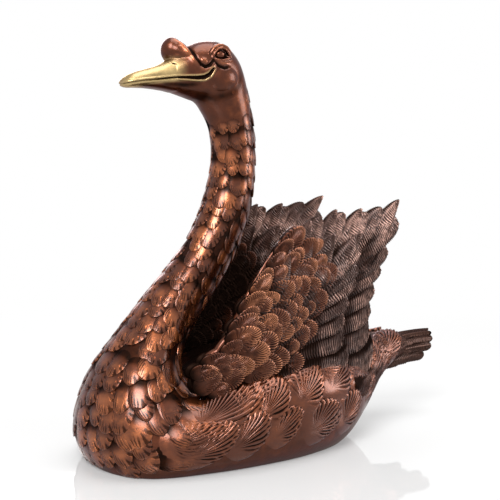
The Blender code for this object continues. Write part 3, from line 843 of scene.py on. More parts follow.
@dataclass
class FeatherCoat:
    """Feathers of one kind over a part of the torso.

    Attributes:
        name: Name of the piece.
        node: CAD node that it stands for.
        pattern: Feather that it repeats.
        finish: Its material.
        start: Place along the profile of its first row, towards the head.
        end: Place along the profile of its last row, towards the tail.
        from_turn: Angle from the belly at which it starts.
        places: Places along the profile at which the next two are given.
        lengths: Length of the feathers there, in mm.
        heights: Height of their tips there, in mm.
        slimness: Width of a feather beside its length.
        smooth_below: Height in mm under which the hull is bare.
        side_clear: Further height that is left to the plumes of the flanks.
        side_end: Place along the profile behind which it is left to them.
        neck_start: Place along the profile from which the neck counts.
        tip_up: How far the feathers of the sides turn up.
        ring_points: Points on a ring of the skin, for measuring it.
    """

    name: str
    node: str
    pattern: bpy.types.Object
    finish: bpy.types.Material
    start: float
    end: float
    from_turn: float = 0.0
    places: tuple = (0.0, 2.0, 4.0, 6.0, 8.0, 10.0, 12.0, 14.0, 17.0, 19.0)
    lengths: tuple = (22.0, 32.0, 38.0, 38.0, 32.0, 28.0, 25.0, 22.0, 18.5, 15.0)
    heights: tuple = (1.2, 1.8, 2.2, 2.3, 2.2, 1.9, 1.7, 1.4, 1.1, 0.7)
    slimness: float = 0.62
    smooth_below: float = 13.0
    side_clear: float = 20.0
    side_end: float = 7.0
    neck_start: float = 9.5
    tip_up: float = 0.55
    ring_points: int = 241

    @staticmethod
    def top_line(turn: np.ndarray) -> np.ndarray:
        """Place along the profile at which the feathers begin under the head."""
        return 17.3 + 2.0 * (turn / np.pi) ** 2 + 0.2 * np.sin(5 * turn + 1)

    def layout(self) -> dict[str, np.ndarray]:
        """Places, directions and sizes of the feathers, in staggered rows with a little play.

        Returns:
            Values for each feather, by the name that the geometry nodes read them by.
        """
        play = np.random.default_rng(SEED)
        kept: list[tuple] = []
        t = self.start
        odd = 0
        around = np.linspace(-np.pi, np.pi, self.ring_points)
        while t > self.end:
            length = np.interp(t, self.places, self.lengths)
            width = length * self.slimness
            ring = TORSO.point(t, around) / MM
            arc = np.concatenate([[0], np.cumsum(np.linalg.norm(np.diff(ring, axis=0), axis=1))])
            number = max(7, round(arc[-1] / (0.68 * width)))
            spots = (np.arange(number) + 0.5 * odd) / number + play.normal(0, 0.12 / number, number)
            for turn in np.interp(spots % 1.0 * arc[-1], arc, around):
                place = t + play.normal(0, 0.045)
                point = TORSO.point(place, turn) / MM
                gap = 0.43 * math.sqrt(length * width)
                near = any(np.linalg.norm(point - other[0]) < gap for other in kept[-160:])
                feathered = place < self.top_line(turn) and abs(turn) >= self.from_turn
                level = self.smooth_below + (self.side_clear if place < self.side_end else 0.0)
                if not near and feathered and (point[2] > level or place > self.neck_start):
                    size = length * play.uniform(0.85, 1.18)
                    kept.append((point, place, turn, size, play.normal(0, 0.14)))
            stride = np.linalg.norm(TORSO.point(t - 0.05, 0.0) - TORSO.point(t + 0.05, 0.0)) / MM / 0.1
            t -= 0.46 * length / stride
            odd = 1 - odd
        places, turns, lengths, sway = (np.array([item[k] for item in kept]) for k in (1, 2, 3, 4))
        normal = TORSO.normal(places, turns)
        rear = TORSO.rearward(places, turns)
        side = np.cross(normal, rear)
        lifted = self.tip_up * smooth(9.0, 6.0, places) * -np.sin(turns)
        angle = (sway + lifted)[:, None]
        nape = smooth(13.5, 15.5, places) * smooth(2.2, 3.0, np.abs(turns))
        level = TORSO.point(places, turns)[:, 2] / MM
        fade = lerp(0.3, 1.0, smooth(self.smooth_below, 36.0, level))
        below = places - self.top_line(turns)
        fade = np.where(places > self.neck_start, lerp(0.28, 1.0, smooth(0.0, -1.5, below)), fade)
        height = np.interp(places, self.places, self.heights) * (1 + 0.9 * nape) * fade
        broad = play.uniform(0.9, 1.15, len(places)) * self.slimness
        return {
            "point": TORSO.point(places, turns),
            "feather_normal": normal,
            "feather_direction": unit(rear * np.cos(angle) + side * np.sin(angle)),
            "feather_size": np.stack([lengths * broad, lengths, lengths], -1) * MM,
            "feather_height": height * MM,
            "feather_base": -0.6 * smooth(-1.1, -0.15, below) * height * MM,
            "grime": shaded_hollow(TORSO.point(places, turns)),
            "tone": play.normal(0, 0.5, len(places)),
        }

    def build(self, skin: bpy.types.Object, tree: bpy.types.NodeTree) -> None:
        """Builds the feathers on a skin as one plain mesh.

        Args:
            skin: Object that the feathers lie on.
            tree: Geometry nodes that lay them.
        """
        layout = self.layout()
        points = bpy.data.meshes.new(self.name)
        points.from_pydata(layout.pop("point").tolist(), [], [])
        for name, values in layout.items():
            put(points, name, values)
        obj = bpy.data.objects.new(self.name, points)
        bpy.context.scene.collection.objects.link(obj)
        coat = obj.modifiers.new("coat", "NODES")
        coat.node_group = tree
        inputs = {"Skin": skin, "Feather": self.pattern, "Finish": self.finish}
        for item in tree.interface.items_tree:
            if item.in_out == "INPUT" and item.name in inputs:
                coat[item.identifier] = inputs[item.name]
        make_plain(obj)
        mesh = obj.data
        for vert in mesh.vertices:
            vert.co.z = max(vert.co.z, FLOOR_GAP)
        for name in ("lift", *(f"feather_{kind}" for kind in ("base", "height", "normal", "direction", "size"))):
            if name in mesh.attributes:
                mesh.attributes.remove(mesh.attributes[name])
        mesh.shade_smooth()
        settle(obj, self.node)


@dataclass
class Skin:
    """Bare skin of a casting under its feathers, closed at both ends.

    Attributes:
        name: Name of the piece.
        node: CAD node that it stands for.
        start: Place along the profile of its first ring.
        end: Place along the profile of its last ring.
        finish: Its material.
        rings: Rings of points along it.
        sides: Points on a ring.
        inset: Depth in mm that it lies under the outside of the casting.
        rim: Height in mm at which it is cut level.
        bare_below: Height in mm under which it shows.
    """

    name: str
    node: str
    start: float
    end: float
    finish: bpy.types.Material
    rings: int = 140
    sides: int = 96
    inset: float = 0.35
    rim: float = 0.5
    bare_below: float = 26.0

    def shape(self) -> bpy.types.Object:
        """The skin, cut level at the rim where it reaches down to it.

        Returns:
            Its object.
        """
        along = np.linspace(self.start, self.end, self.rings)
        round_it = np.linspace(0, 2 * np.pi, self.sides, endpoint=False)
        t, turn = np.meshgrid(along, round_it, indexing="ij")
        points = TORSO.point(t, turn, self.inset * smooth(17.5, 16.5, t)).reshape(-1, 3)
        low = points[:, 2] / MM
        t = t.ravel()
        bare = smooth(self.bare_below + 10, self.bare_below, low) * smooth(9.8, 9.2, t)
        # The skin is darker where feathers cover it, as painted shade in the gaps between them. The bare belly and
        # the top of the neck are lighter.
        relief = lerp(lerp(0.25, 0.46, smooth(16.4, 17.2, t)), 0.44, bare)
        shell = Shell()
        faces = grid_faces(self.rings, self.sides, closed=True)
        shell.add(points, faces, relief=relief, grime=shaded_hollow(points), tone=0.0)
        mesh = shell.mesh(self.name)
        bm = bmesh.new()
        bm.from_mesh(mesh)
        ends, _ = cut_off(bm, (0, 0, self.rim), (0, 0, -1))
        for edge in ends:
            edge.smooth = False
        bmesh.ops.recalc_face_normals(bm, faces=bm.faces)
        bm.to_mesh(mesh)
        bm.free()
        put(mesh, "skin_normal", np.array([vert.normal for vert in mesh.vertices]))
        return new_object(self.name, mesh, self.finish)

    def build(self) -> None:
        """Builds the skin as a piece."""
        settle(self.shape(), self.node)


@dataclass(frozen=True)
class WingSheet:
    """Middle surface of a wing, which stands on the hull's shoulder and leans with it.

    Attributes:
        side: Minus one for the left wing, one for the right.
        pivot: Place in x and z that its angles are taken from, in mm.
        half_hull: Half width of the hull, in mm.
    """

    side: float
    pivot: tuple = (-87.0, 66.0)
    half_hull: float = 73.0

    def middle(self, x: np.ndarray, z: np.ndarray) -> np.ndarray:
        """Distance of the sheet from the middle of the swan.

        Args:
            x: Places along the swan, in mm.
            z: Heights, in mm.

        Returns:
            Distance at each place, in mm.
        """
        rise = np.clip((z - 56) / 125, 0, 1)
        foot = 0.725 * self.half_hull - 14 * ((x + 35) / 94) ** 2
        top = 0.73 * self.half_hull - 4 * ((x - 5) / 70) ** 2
        return lerp(foot, top, rise * rise * (3 - 2 * rise)) + 3 * np.sin(np.pi * rise)

    def half(self, z: np.ndarray) -> np.ndarray:
        """Half thickness of the bare plate."""
        return lerp(3.4, 0.75, np.clip((z - 70) / 70, 0, 1))

    def place(self, flat: np.ndarray, lift: np.ndarray, face: float) -> np.ndarray:
        """Points over the sheet in metres.

        Args:
            flat: Distances ahead of the pivot and above it, in mm.
            lift: Heights over the plate's face, in mm.
            face: One for the outer face, minus one for the inner.

        Returns:
            One point for each distance.
        """
        x, z = flat[..., 0] + self.pivot[0], flat[..., 1] + self.pivot[1]
        y = self.side * (self.middle(x, z) + face * (self.half(z) + lift))
        return np.stack([x, y, z], -1) * MM


@dataclass(frozen=True)
class TailSheet:
    """Middle surface of the tail fan, which arches down to both sides.

    Attributes:
        root: Place of its root in x and z, in mm.
        reach: Length of the fan behind its root, in mm.
        rise: How far it climbs on the way, in mm.
        radius: Radius of its arch, in mm.
        depth: Depth of the arch beside a round one.
        half: Half thickness of the bare plate, in mm.
    """

    root: tuple = (98.0, 62.0)
    reach: float = 55.0
    rise: float = 7.0
    radius: float = 13.5
    depth: float = 1.2
    half: float = 0.7

    def place(self, flat: np.ndarray, lift: np.ndarray, face: float) -> np.ndarray:
        """Points over the sheet in metres.

        Args:
            flat: Distances behind the root and round to the left, in mm.
            lift: Heights over the plate's face, in mm.
            face: One for the upper face, minus one for the lower.

        Returns:
            One point for each distance.
        """
        share = flat[..., 0] / self.reach
        angle = flat[..., 1] / self.radius
        out = face * (self.half + lift)
        y = (self.radius + out) * np.sin(angle)
        top = self.root[1] + self.rise * share * (2 - np.clip(share, 0, 1))
        z = top - self.depth * self.radius * (1 - np.cos(angle)) + out * np.cos(angle)
        return np.stack([self.root[0] + flat[..., 0], y, z], -1) * MM


@dataclass(frozen=True)
class HullSheet:
    """Skin of the torso round one place, laid out flat.

    Attributes:
        t: Place along the profile.
        turn: Angle from the belly round to the back.
    """

    t: float
    turn: float

    def place(self, flat: np.ndarray, lift: np.ndarray, face: float) -> np.ndarray:
        """Points over the skin in metres.

        Args:
            flat: Distances towards the tail and up towards the back, in mm.
            lift: Heights over the skin, in mm.
            face: One for the outer face.

        Returns:
            One point for each distance.
        """
        step = TORSO.step
        along = TORSO.point(self.t - step, self.turn) - TORSO.point(self.t + step, self.turn)
        around = TORSO.point(self.t, self.turn - step) - TORSO.point(self.t, self.turn + step)
        t = self.t - flat[..., 0] * 2 * step * MM / np.linalg.norm(along)
        upward = math.copysign(2 * step * MM / np.linalg.norm(around), self.turn)
        turn = self.turn + upward * flat[..., 1]
        return TORSO.point(t, turn) + TORSO.normal(t, turn) * (face * lift * MM)[..., None]


Sheet = WingSheet | TailSheet | HullSheet


def close_rim(shell: Shell, sheet: Sheet, face: float, flat: np.ndarray, lift: np.ndarray,
              faces: np.ndarray, rim: np.ndarray, tone: float, relief: np.ndarray) -> None:
    """Adds a feather to a shell, with a skirt down from its rim and a cap under it.

    Args:
        shell: Where it goes.
        sheet: What it lies on.
        face: Which face of the sheet it lies on.
        flat: Its points on the sheet, in mm.
        lift: Their heights over the sheet, in mm.
        faces: Its quads.
        rim: Numbers of the points round its edge.
        tone: How bright it is rubbed.
        relief: How high each point is rubbed, with painted shade where other feathers lie over it.
    """
    flat, skirt_lift = flat.reshape(-1, 2), np.full(len(rim), -SKIRT_DROP)
    skirt, cap = skirt_below(len(flat), rim)
    lift = np.concatenate([lift.ravel(), skirt_lift])
    # The skirt under the rim is painted dark, as shade beneath the feather's edge.
    relief = np.concatenate([np.clip(relief.ravel(), 0.02, 1), np.zeros(len(rim))])
    points = sheet.place(np.concatenate([flat, flat[rim]]), lift, face)
    points[:, 2] = np.maximum(points[:, 2], FLOOR_GAP)
    shell.add(points, np.concatenate([faces, skirt]), caps=[cap], tone=tone, grime=shaded_hollow(points), relief=relief)


@dataclass(frozen=True)
class Plume:
    """One broad feather that lies on a sheet, with barbs fanned out towards its rim.

    Attributes:
        root: Where its barbs spring from on the sheet, in mm.
        tip: Where it ends.
        half: Half of its width.
        base: Height of its back end over the sheet.
        rise: Height of its tip above its back end.
        barbs: Number of barbs in a whole turn.
        start: Share of the way to the rim at which they start.
        depth: Depth of the cuts between them.
        swirl: How far they turn on their way to the rim.
        back: Length behind its root beside its length ahead.
        dome: How far its middle rises above its rim.
        shade: How bright its back end is painted, as shade under the feathers that lie over it.
        thin: How narrow the cuts are.
        teeth: How far the cuts notch its rim.
        rings: Shares of the way to its rim at which it has points.
        seen: Angle to both sides of its tip up to which it is cut.
    """

    root: np.ndarray
    tip: np.ndarray
    half: float
    base: float = 0.4
    rise: float = 1.8
    barbs: int = 30
    start: float = 0.5
    depth: float = 0.4
    swirl: float = 0.25
    back: float = 0.7
    dome: float = 0.35
    shade: float = 0.05
    thin: float = 0.0
    teeth: float = 0.05
    rings: tuple = (0.0, 0.3, 0.52, 0.7, 0.83, 0.92, 1.0)
    seen: float = 2.0

    def add_to(self, shell: Shell, sheet: Sheet, face: float, tone: float) -> None:
        """Adds the feather to a shell.

        Args:
            shell: Where it goes.
            sheet: What it lies on.
            face: Which face of the sheet it lies on.
            tone: How bright it is rubbed.
        """
        span = self.tip - self.root
        left = np.array([-span[1], span[0]]) / np.linalg.norm(span)
        front = np.linspace(-self.seen, self.seen, int(self.barbs * self.seen / np.pi * 5.5))
        hidden = np.linspace(self.seen, 2 * np.pi - self.seen, 9)[1:-1]
        share, angle = np.meshgrid(np.array(self.rings), np.concatenate([front, hidden]), indexing="ij")
        ahead = np.cos(angle) * np.where(np.cos(angle) > 0, 1.0, self.back)
        wander = 0.5 * np.sin(3 * angle + 7 * tone) + 0.4 * np.sin(5 * angle + 4 * share + 9 * tone)
        wave = np.sin(self.barbs * (angle + self.swirl * share**2) + 2.2 * wander)
        ragged = smooth(-0.25, 0.1, share - self.start + 0.12 * wander) * smooth(0.0, 0.25, share)
        shown = smooth(self.seen, self.seen - 0.4, np.abs(angle))
        cut = smooth(self.thin - 0.1, self.thin + 0.7, wave) * ragged * shown
        size = share * (1 - self.teeth * cut * share**6 + 0.03 * np.sin(2 * angle + 5 * tone))
        sideways = size * self.half * np.sin(angle)
        flat = self.root + (size * ahead)[..., None] * span + sideways[..., None] * left
        ridge = np.exp(-(((share - 0.92) / 0.1) ** 2))
        ramp = (self.back + share * ahead) / (1 + self.back)
        lift = self.base + self.rise * ramp + self.dome * (1 - share**2) + 0.18 * ridge - self.depth * cut
        # The back end, under the feathers before it, is painted darker as shade.
        lit = lerp(self.shade, 0.68, ramp)
        relief = (lit + 0.12 * (1 - share**2) + 0.45 * ridge * ramp) * (1 - 0.95 * cut)
        columns = share.shape[1]
        rim = np.arange(columns) + (len(self.rings) - 1) * columns
        faces = grid_faces(len(self.rings), columns, closed=True)
        close_rim(shell, sheet, face, flat, lift, faces, rim, tone, relief)


@dataclass(frozen=True)
class Vane:
    """One long feather that lies on a sheet, with barbs cut to both sides of its shaft.

    Attributes:
        root: Where it starts on the sheet, in mm.
        tip: Where it ends.
        half: Half of its greatest width.
        bow: How far it bows to its left, beside its length.
        base: Height of its middle over the sheet.
        tilt: How far its right edge stands above its left edge.
        outline: Shape of its edge.
        pitch: Distance between its barbs.
        barb: Depth of its barbs.
        slant: How far its barbs run towards the tip for each mm outwards.
        shaft_at: Where its shaft runs across it, from minus one to one.
        dome: How far its middle rises above its edges.
        hook: How far its tip turns to its left, beside its length.
        crowd: Distance to the next feather at its tip, beside its half width, which sets how wide a band of painted
            shadow that feather's edge leaves on it.
        covered: Share of its length that other feathers lie over, which is painted darker as shade.
        columns: Points across it.
    """

    root: np.ndarray
    tip: np.ndarray
    half: float
    bow: float = 0.0
    base: float = 0.5
    tilt: float = 0.4
    outline: FeatherPattern = FeatherPattern("vane", widest=0.6, root=0.75, roundness=2.2)
    pitch: float = 2.2
    barb: float = 0.5
    slant: float = 1.6
    shaft_at: float = 0.0
    dome: float = 0.4
    hook: float = 0.0
    crowd: float = 2.0
    covered: float = 0.0
    columns: int = 9

    def add_to(self, shell: Shell, sheet: Sheet, face: float, tone: float) -> None:
        """Adds the feather to a shell.

        Args:
            shell: Where it goes.
            sheet: What it lies on.
            face: Which face of the sheet it lies on.
            tone: How bright it is rubbed.
        """
        span = self.tip - self.root
        length = float(np.linalg.norm(span))
        rows = max(10, int(length / self.pitch * 5))
        along, across = np.linspace(0, 1, rows), np.linspace(-1, 1, self.columns)
        along, across = np.meshgrid(along, across, indexing="ij")
        left = np.array([-span[1], span[0]])
        sideways = self.bow * 4 * along * (1 - along) + self.hook * (smooth(0.66, 1.0, along) - 1)
        centre = self.root + along[..., None] * span + sideways[..., None] * left
        heading = unit(span + (self.bow * 4 * (1 - 2 * along))[..., None] * left)
        width = self.half * self.outline.outline(np.minimum(along, TIP_END))
        from_shaft = np.abs(across - self.shaft_at)
        ripple = along * length - from_shaft * width * self.slant
        play = 1.2 * np.sin(0.31 * ripple + 9 * tone) + 0.8 * np.sin(0.11 * along * length + 5 * across)
        wave = np.sin(2 * np.pi * ripple / self.pitch + play)
        cut = 1 - (1 - smooth(-0.75, 0.2, wave)) * smooth(0.05, 0.22, from_shaft)
        ragged = 1 + 0.05 * wave * smooth(0.6, 1, np.abs(across))
        outward = np.stack([-heading[..., 1], heading[..., 0]], -1)
        flat = centre - (across * width * ragged)[..., None] * outward
        dome = (1 - across**2) * np.sin(np.pi * np.clip(0.06 + 0.94 * along, 0, 1) ** 0.7)
        shaft = np.exp(-((from_shaft / 0.1) ** 2)) * (1 - 0.6 * along)
        lift = self.base + self.tilt * across + 0.3 * along + self.dome * dome + 0.3 * shaft
        lift = lift - self.barb * (1 - cut)
        relief = (0.55 + 0.14 * along + 0.1 * dome + 0.15 * shaft + 0.25 * across) * lerp(0.1, 1.0, cut)
        # Painted shadow: a dark band along its left side, where the edge of the next feather lies over it.
        upper = 1 - lerp(0.3, 1.0, along) * self.crowd * self.half / np.maximum(width, 0.3 * self.half)
        relief = relief * lerp(0.1, 1.0, smooth(upper - 0.05, upper + 0.25, across))
        # The part that other feathers lie over is painted darker as shade.
        relief = relief * lerp(0.45, 1.0, smooth(self.covered, self.covered + 0.08, along))
        faces, rim = grid_faces(rows, self.columns), grid_rim(rows, self.columns)
        close_rim(shell, sheet, face, flat, lift, faces, rim, tone, relief)


def polar(degrees: float, reach: float) -> np.ndarray:
    """Point on a sheet at an angle and a distance, in mm."""
    return np.array([math.cos(math.radians(degrees)), math.sin(math.radians(degrees))]) * reach


@dataclass
class Wing:
    """One raised wing: a plate, long feathers in two layers, and rounded coverts by its leading edge.

    Attributes:
        side: Minus one for the left wing, one for the right.
        node: CAD node that it stands for.
        plate: Material of its plate and edge.
        long: Material of its long feathers.
        covert: Material of its coverts.
        edge: Leading edge of its outline, as angles and distances from the pivot in mm.
        tips: Tips of its long feathers, which are the next stretch of the outline.
        under: Rest of the outline, along the lowest feather and back to the foot.
        between: Tips of the broad feathers that close the gaps behind the first few.
        covered: Share of the reach that is covered by coverts, by angle.
        foot: Places of the coverts round the foot.
        covert_reach: Distances from the pivot between which the rows of coverts lie.
        covert_turn: Angles between which they lie.
        row: Distance between the rows.
        gap: Distance between the coverts of a row.
        size: Mean length of a covert.
        inset: Distance that the coverts keep from the leading edge.
        hooked: Number of long feathers with a hooked tip.
        rings: Rings of points on the plate.
    """

    side: float
    node: str
    plate: bpy.types.Material
    long: bpy.types.Material
    covert: bpy.types.Material
    edge: tuple = (
        (184, 15), (135, 12), (84, 19), (68, 31), (66, 55), (63, 77), (61, 93), (59.5, 108), (57.5, 121),
    )
    tips: tuple = (
        (53, 131), (47.5, 151), (41.5, 168), (35.4, 202), (31.8, 192), (27.5, 176), (24.2, 164), (20, 153),
        (14.5, 146), (8, 143), (-0.5, 149),
    )
    under: tuple = ((-2.8, 118), (-3.2, 92), (-6, 57), (-27, 28), (-66, 19), (-107, 15), (-150, 14))
    between: tuple = ((50.5, 138), (44.8, 154), (39.4, 170), (37.2, 184))
    covered: tuple = (
        (-8, 0.46), (8, 0.49), (22, 0.55), (32, 0.56), (40, 0.68), (46, 0.82), (52, 0.92), (68, 0.95),
    )
    foot: tuple = ((165, 11), (-143, 10), (108, 9), (130, 2), (-90, 11), (41, 9), (-29, 9), (-62, 14))
    covert_reach: tuple = (12.0, 125.0)
    covert_turn: tuple = (-6.0, 68.0)
    row: float = 9.0
    gap: float = 11.5
    size: float = 15.0
    inset: float = 6.5
    hooked: int = 4
    rings: int = 14

    def reach(self, degrees: np.ndarray) -> np.ndarray:
        """Distance from the pivot to the wing's outline at angles."""
        ring = np.array(self.edge + self.tips + self.under, float)
        return np.interp(degrees, ring[::-1, 0], ring[::-1, 1])

    def brow(self, reach: float) -> float:
        """Angle of the leading edge at a distance from the pivot."""
        return float(np.interp(reach, *np.array(self.edge[2:], float)[:, ::-1].T))

    def build(self) -> None:
        """Builds the plate and the feathers of both faces."""
        self.build_plate()
        for face, label in ((1.0, "outer"), (-1.0, "inner")):
            self.build_long(face, label)
            self.build_coverts(face, label)

    def build_plate(self) -> None:
        """Plate that the feathers lie on, rounded off along its edge."""
        sheet = WingSheet(self.side)
        ring = np.array(self.edge + self.tips + self.under, float)
        fine = np.linspace(0, len(ring), 8 * len(ring), endpoint=False)
        corners = np.arange(len(ring) + 1)
        degrees = np.interp(fine, corners, np.append(ring[:, 0], ring[0, 0] - 360))
        reach = np.interp(fine, corners, np.append(ring[:, 1], ring[0, 1]))
        reach = reach * lerp(0.99, 0.965, smooth(60, 50, degrees) * smooth(-6, 0, degrees))
        reach = reach * lerp(1.0, 0.955, smooth(56, 52, degrees) * smooth(34, 37, degrees))
        share = np.sin(np.linspace(0.06, np.pi / 2, self.rings))
        spoke = np.stack([np.cos(np.radians(degrees)), np.sin(np.radians(degrees))], -1)
        flat = (share[:, None, None] * reach[None, :, None] * spoke[None]).reshape(-1, 2)
        drop = -sheet.half(flat[:, 1] + sheet.pivot[1]) * np.repeat(share, len(fine)) ** 24
        front = smooth(50, 58, degrees) * smooth(140, 110, degrees)
        relief = 0.15 + 0.4 * (smooth(0.7, 0.85, share)[:, None] * front).ravel()
        faces, cap = grid_faces(self.rings, len(fine), closed=True), list(range(len(fine)))
        shell = Shell()
        for face in (1.0, -1.0):
            points = sheet.place(flat, drop, face)
            shell.add(points, faces, caps=[cap], relief=relief, grime=shaded_hollow(points), tone=0.0)
        shell.settle(f"{self.node}_plate", self.plate, self.node)

    def build_long(self, face: float, label: str) -> None:
        """Flight feathers, and the greater coverts that lie over their roots.

        Args:
            face: One for the outer face, minus one for the inner.
            label: Name of the face.
        """
        play = np.random.default_rng(SEED)
        gaps = np.abs(np.gradient(np.array(self.tips)[:, 0]))
        sheet, shell = WingSheet(self.side), Shell()
        broad = FeatherPattern("vane", widest=0.7, root=0.8, roundness=1.9)
        hooking = FeatherPattern("vane", widest=0.62, root=0.8, roundness=1.3)
        blunt = FeatherPattern("vane", widest=0.82, root=0.8, roundness=2.3)
        for degrees, reach in self.between:
            vane = Vane(polar(degrees + 3, 0.3 * reach), polar(degrees, reach), 11.0, bow=-0.02, base=-0.2,
                        outline=broad, shaft_at=-0.45)
            vane.add_to(shell, sheet, face, play.normal(0, 0.4))
        for layer, share, base in ((0, 1.0, 0.1), (1, 0.79, 1.3)):
            for number, (degrees, reach) in enumerate(self.tips):
                turn = degrees + (2.0 if layer else 0.0)
                length = reach * (0.98 if number > self.hooked else 1.0)
                if layer:
                    length = reach * share * play.uniform(0.97, 1.03)
                hooked = number < self.hooked
                spacing = length * math.radians(gaps[number])
                half = max(0.85 * spacing, 7.5)
                vane = Vane(
                    polar(turn + 3.0, 0.3 * reach), polar(turn, length), half, base=base, tilt=0.9, shaft_at=-0.45,
                    bow=-0.02 if hooked else 0.03, hook=0.7 * half / length if hooked else 0.0,
                    outline=hooking if hooked else blunt, crowd=2.0 if hooked else spacing / half,
                    covered=0.58 if layer else 0.72,
                )
                vane.add_to(shell, sheet, face, play.normal(0, 0.4))
        shell.settle(f"{self.node}_{label}_vanes", self.long, self.node)

    def build_coverts(self, face: float, label: str) -> None:
        """Rounded coverts in staggered rows from the foot and the leading edge to the middle of the wing.

        Args:
            face: One for the outer face, minus one for the inner.
            label: Name of the face.
        """
        play = np.random.default_rng(SEED + 1)
        sheet, shell = WingSheet(self.side), Shell()
        lowest, highest = self.covert_turn
        spots = list(self.foot)
        for number, reach in enumerate(np.arange(*self.covert_reach, self.row)):
            count = max(2, round(reach * math.radians(highest - lowest) / self.gap))
            for k in range(count):
                share = (k + 0.5 * (number % 2) + 0.25) / count
                degrees = lerp(lowest, highest, share) + play.normal(0, 7.0 / count)
                limit = self.reach(degrees) * np.interp(degrees, *np.array(self.covered).T)
                far = reach + play.normal(0, 1.3)
                if far + 5 < limit:
                    spots.append((min(degrees, self.brow(far) - math.degrees(self.inset / far)), far))
        for degrees, reach in spots:
            by_foot = abs(degrees) > 69 or reach < 11.5
            root = polar(degrees, reach) - polar(degrees - 14, 0.0 if by_foot else 4.0)
            heading = (18 if by_foot else degrees - 14) + play.normal(0, 9)
            swell = np.interp(reach, (0, 10, 25, 60, 120), (0.85, 0.85, 1.1, 1.1, 0.9))
            length = self.size * play.uniform(0.78, 1.22) * swell
            slim = np.interp(degrees, (45, 60), (1.0, 0.8)) * play.uniform(0.9, 1.12)
            plume = Plume(
                root, root + polar(heading, length), 0.55 * length * slim, base=play.uniform(0.5, 0.9), rise=2.1,
                barbs=34, start=play.uniform(0.12, 0.5), depth=0.5, swirl=play.normal(0.75, 0.3), back=0.5,
                seen=1.7, dome=0.1, thin=0.05, teeth=0.03,
            )
            plume.add_to(shell, sheet, face, play.normal(0, 0.45))
        shell.settle(f"{self.node}_{label}_coverts", self.covert, self.node)


@dataclass
class Flank:
    """Large plumes along one side of the hull, swept up towards the wing.

    Attributes:
        side: Minus one for the left side, one for the right.
        name: Name of the piece.
        finish: Its material.
        rows: For each row its angle from the belly, its step along the profile, the length of its plumes in mm,
            how far they point up in degrees, and where along the profile it starts and ends.
    """

    side: float
    name: str
    finish: bpy.types.Material
    rows: tuple = (
        (2.6, 0.8, 22.0, 4.0, 3.4, 1.2),
        (2.2, 0.8, 26.0, 14.0, 6.3, 0.9),
        (2.02, 0.8, 22.0, 26.0, 3.0, 0.9),
        (1.82, 0.86, 33.0, 44.0, 7.0, 0.4),
        (1.46, 0.85, 28.0, 36.0, 7.65, 0.4),
    )

    def build(self) -> None:
        """Builds the plumes as one piece."""
        play = np.random.default_rng(SEED + 2)
        shell = Shell()
        for turn, step, size, up, t, last in self.rows:
            while t > last:
                small = lerp(0.62, 1.0, float(smooth(0.0, 2.4, np.array(t))))
                length = size * small * play.uniform(0.9, 1.12)
                sheet = HullSheet(t + play.normal(0, 0.05), self.side * (turn + play.normal(0, 0.04)))
                plume = Plume(
                    np.zeros(2), polar(up + play.normal(0, 7), length), 0.52 * length * play.uniform(0.9, 1.1),
                    base=-1.2, rise=5.2 if turn > 1.5 else 3.6, barbs=round(0.95 * length),
                    start=play.uniform(0.3, 0.5), depth=0.8, swirl=play.uniform(0.6, 1.1), back=0.4, dome=0.9,
                    shade=0.4, teeth=0.025, seen=1.5,
                )
                plume.add_to(shell, sheet, 1.0, play.normal(0, 0.5) - 2.0 * (1 - small))
                t -= step * small * play.uniform(0.92, 1.08)
        shell.settle(self.name, self.finish, "body_casting")


@dataclass
class Rump:
    """Long feathers that lie round the rump and lead into the tail.

    Attributes:
        finish: Its material.
        rows: For each row its place along the profile, its number of feathers, their length and their half width.
        from_turn: Angle from the belly at which the rows start.
    """

    finish: bpy.types.Material
    from_turn: float = 1.55
    rows: tuple = ((0.35, 11, 40.0, 6.4), (1.15, 10, 46.0, 8.0), (2.0, 9, 44.0, 9.5))

    def build(self) -> None:
        """Builds the feathers as one piece, the rearmost row first."""
        play = np.random.default_rng(SEED + 3)
        outline = FeatherPattern("rump", widest=0.8, root=0.8, roundness=2.2)
        shell = Shell()
        for layer, (t, count, length, half) in enumerate(self.rows):
            for k in range(count):
                share = (k + 0.5 * (layer % 2) + 0.25) / count
                turn = lerp(self.from_turn, 2 * np.pi - self.from_turn, share)
                sheet = HullSheet(t, turn if turn < np.pi else turn - 2 * np.pi)
                ahead = length * play.uniform(0.34, 0.42)
                vane = Vane(np.array([ahead - length, 0.0]), np.array([ahead, play.normal(0, 1)]), half,
                            base=-0.2 + 0.7 * layer, tilt=0.0, dome=1.1, outline=outline, barb=0.5)
                vane.add_to(shell, sheet, 1.0, play.normal(0, 0.4))
        shell.settle("rump_feathers", self.finish, "body_casting")


@dataclass
class Tail:
    """Tail fan: a bundle of narrow round-ended feathers on both faces, with shorter ones over their roots.

    Attributes:
        long: Material of its feathers.
        feathers: Number of feathers in a layer.
        reach: Length of the middle feathers behind the root, in mm.
        round_off: How much shorter the outer ones are.
        layers: Length of each layer beside the longest.
    """

    long: bpy.types.Material
    feathers: int = 9
    reach: float = 55.0
    round_off: float = 16.0
    layers: tuple = (1.0, 0.58, 0.3)

    def build(self) -> None:
        """Builds the fan as one piece."""
        play = np.random.default_rng(SEED)
        outline = FeatherPattern("tail", widest=0.88, root=0.8, roundness=2.2)
        shell = Shell()
        for face in (1.0, -1.0):
            for layer, share in enumerate(self.layers):
                for k in range(self.feathers):
                    across = k / (self.feathers - 1) * 2 - 1
                    far = (self.reach - self.round_off * abs(across) ** 2.5) * share * play.uniform(0.96, 1.03)
                    tip = np.array([far, across * lerp(19, 22, share)])
                    vane = Vane(np.array([-14.0, across * 18]), tip, lerp(3.8, 3.5, share), base=0.1 + 0.7 * layer,
                                tilt=0.0, dome=2.0, outline=outline, pitch=1.8, barb=0.35, columns=11)
                    vane.add_to(shell, TailSheet(), face, play.normal(0, 0.4))
        shell.settle("tail_feathers", self.long, "tail_fan")


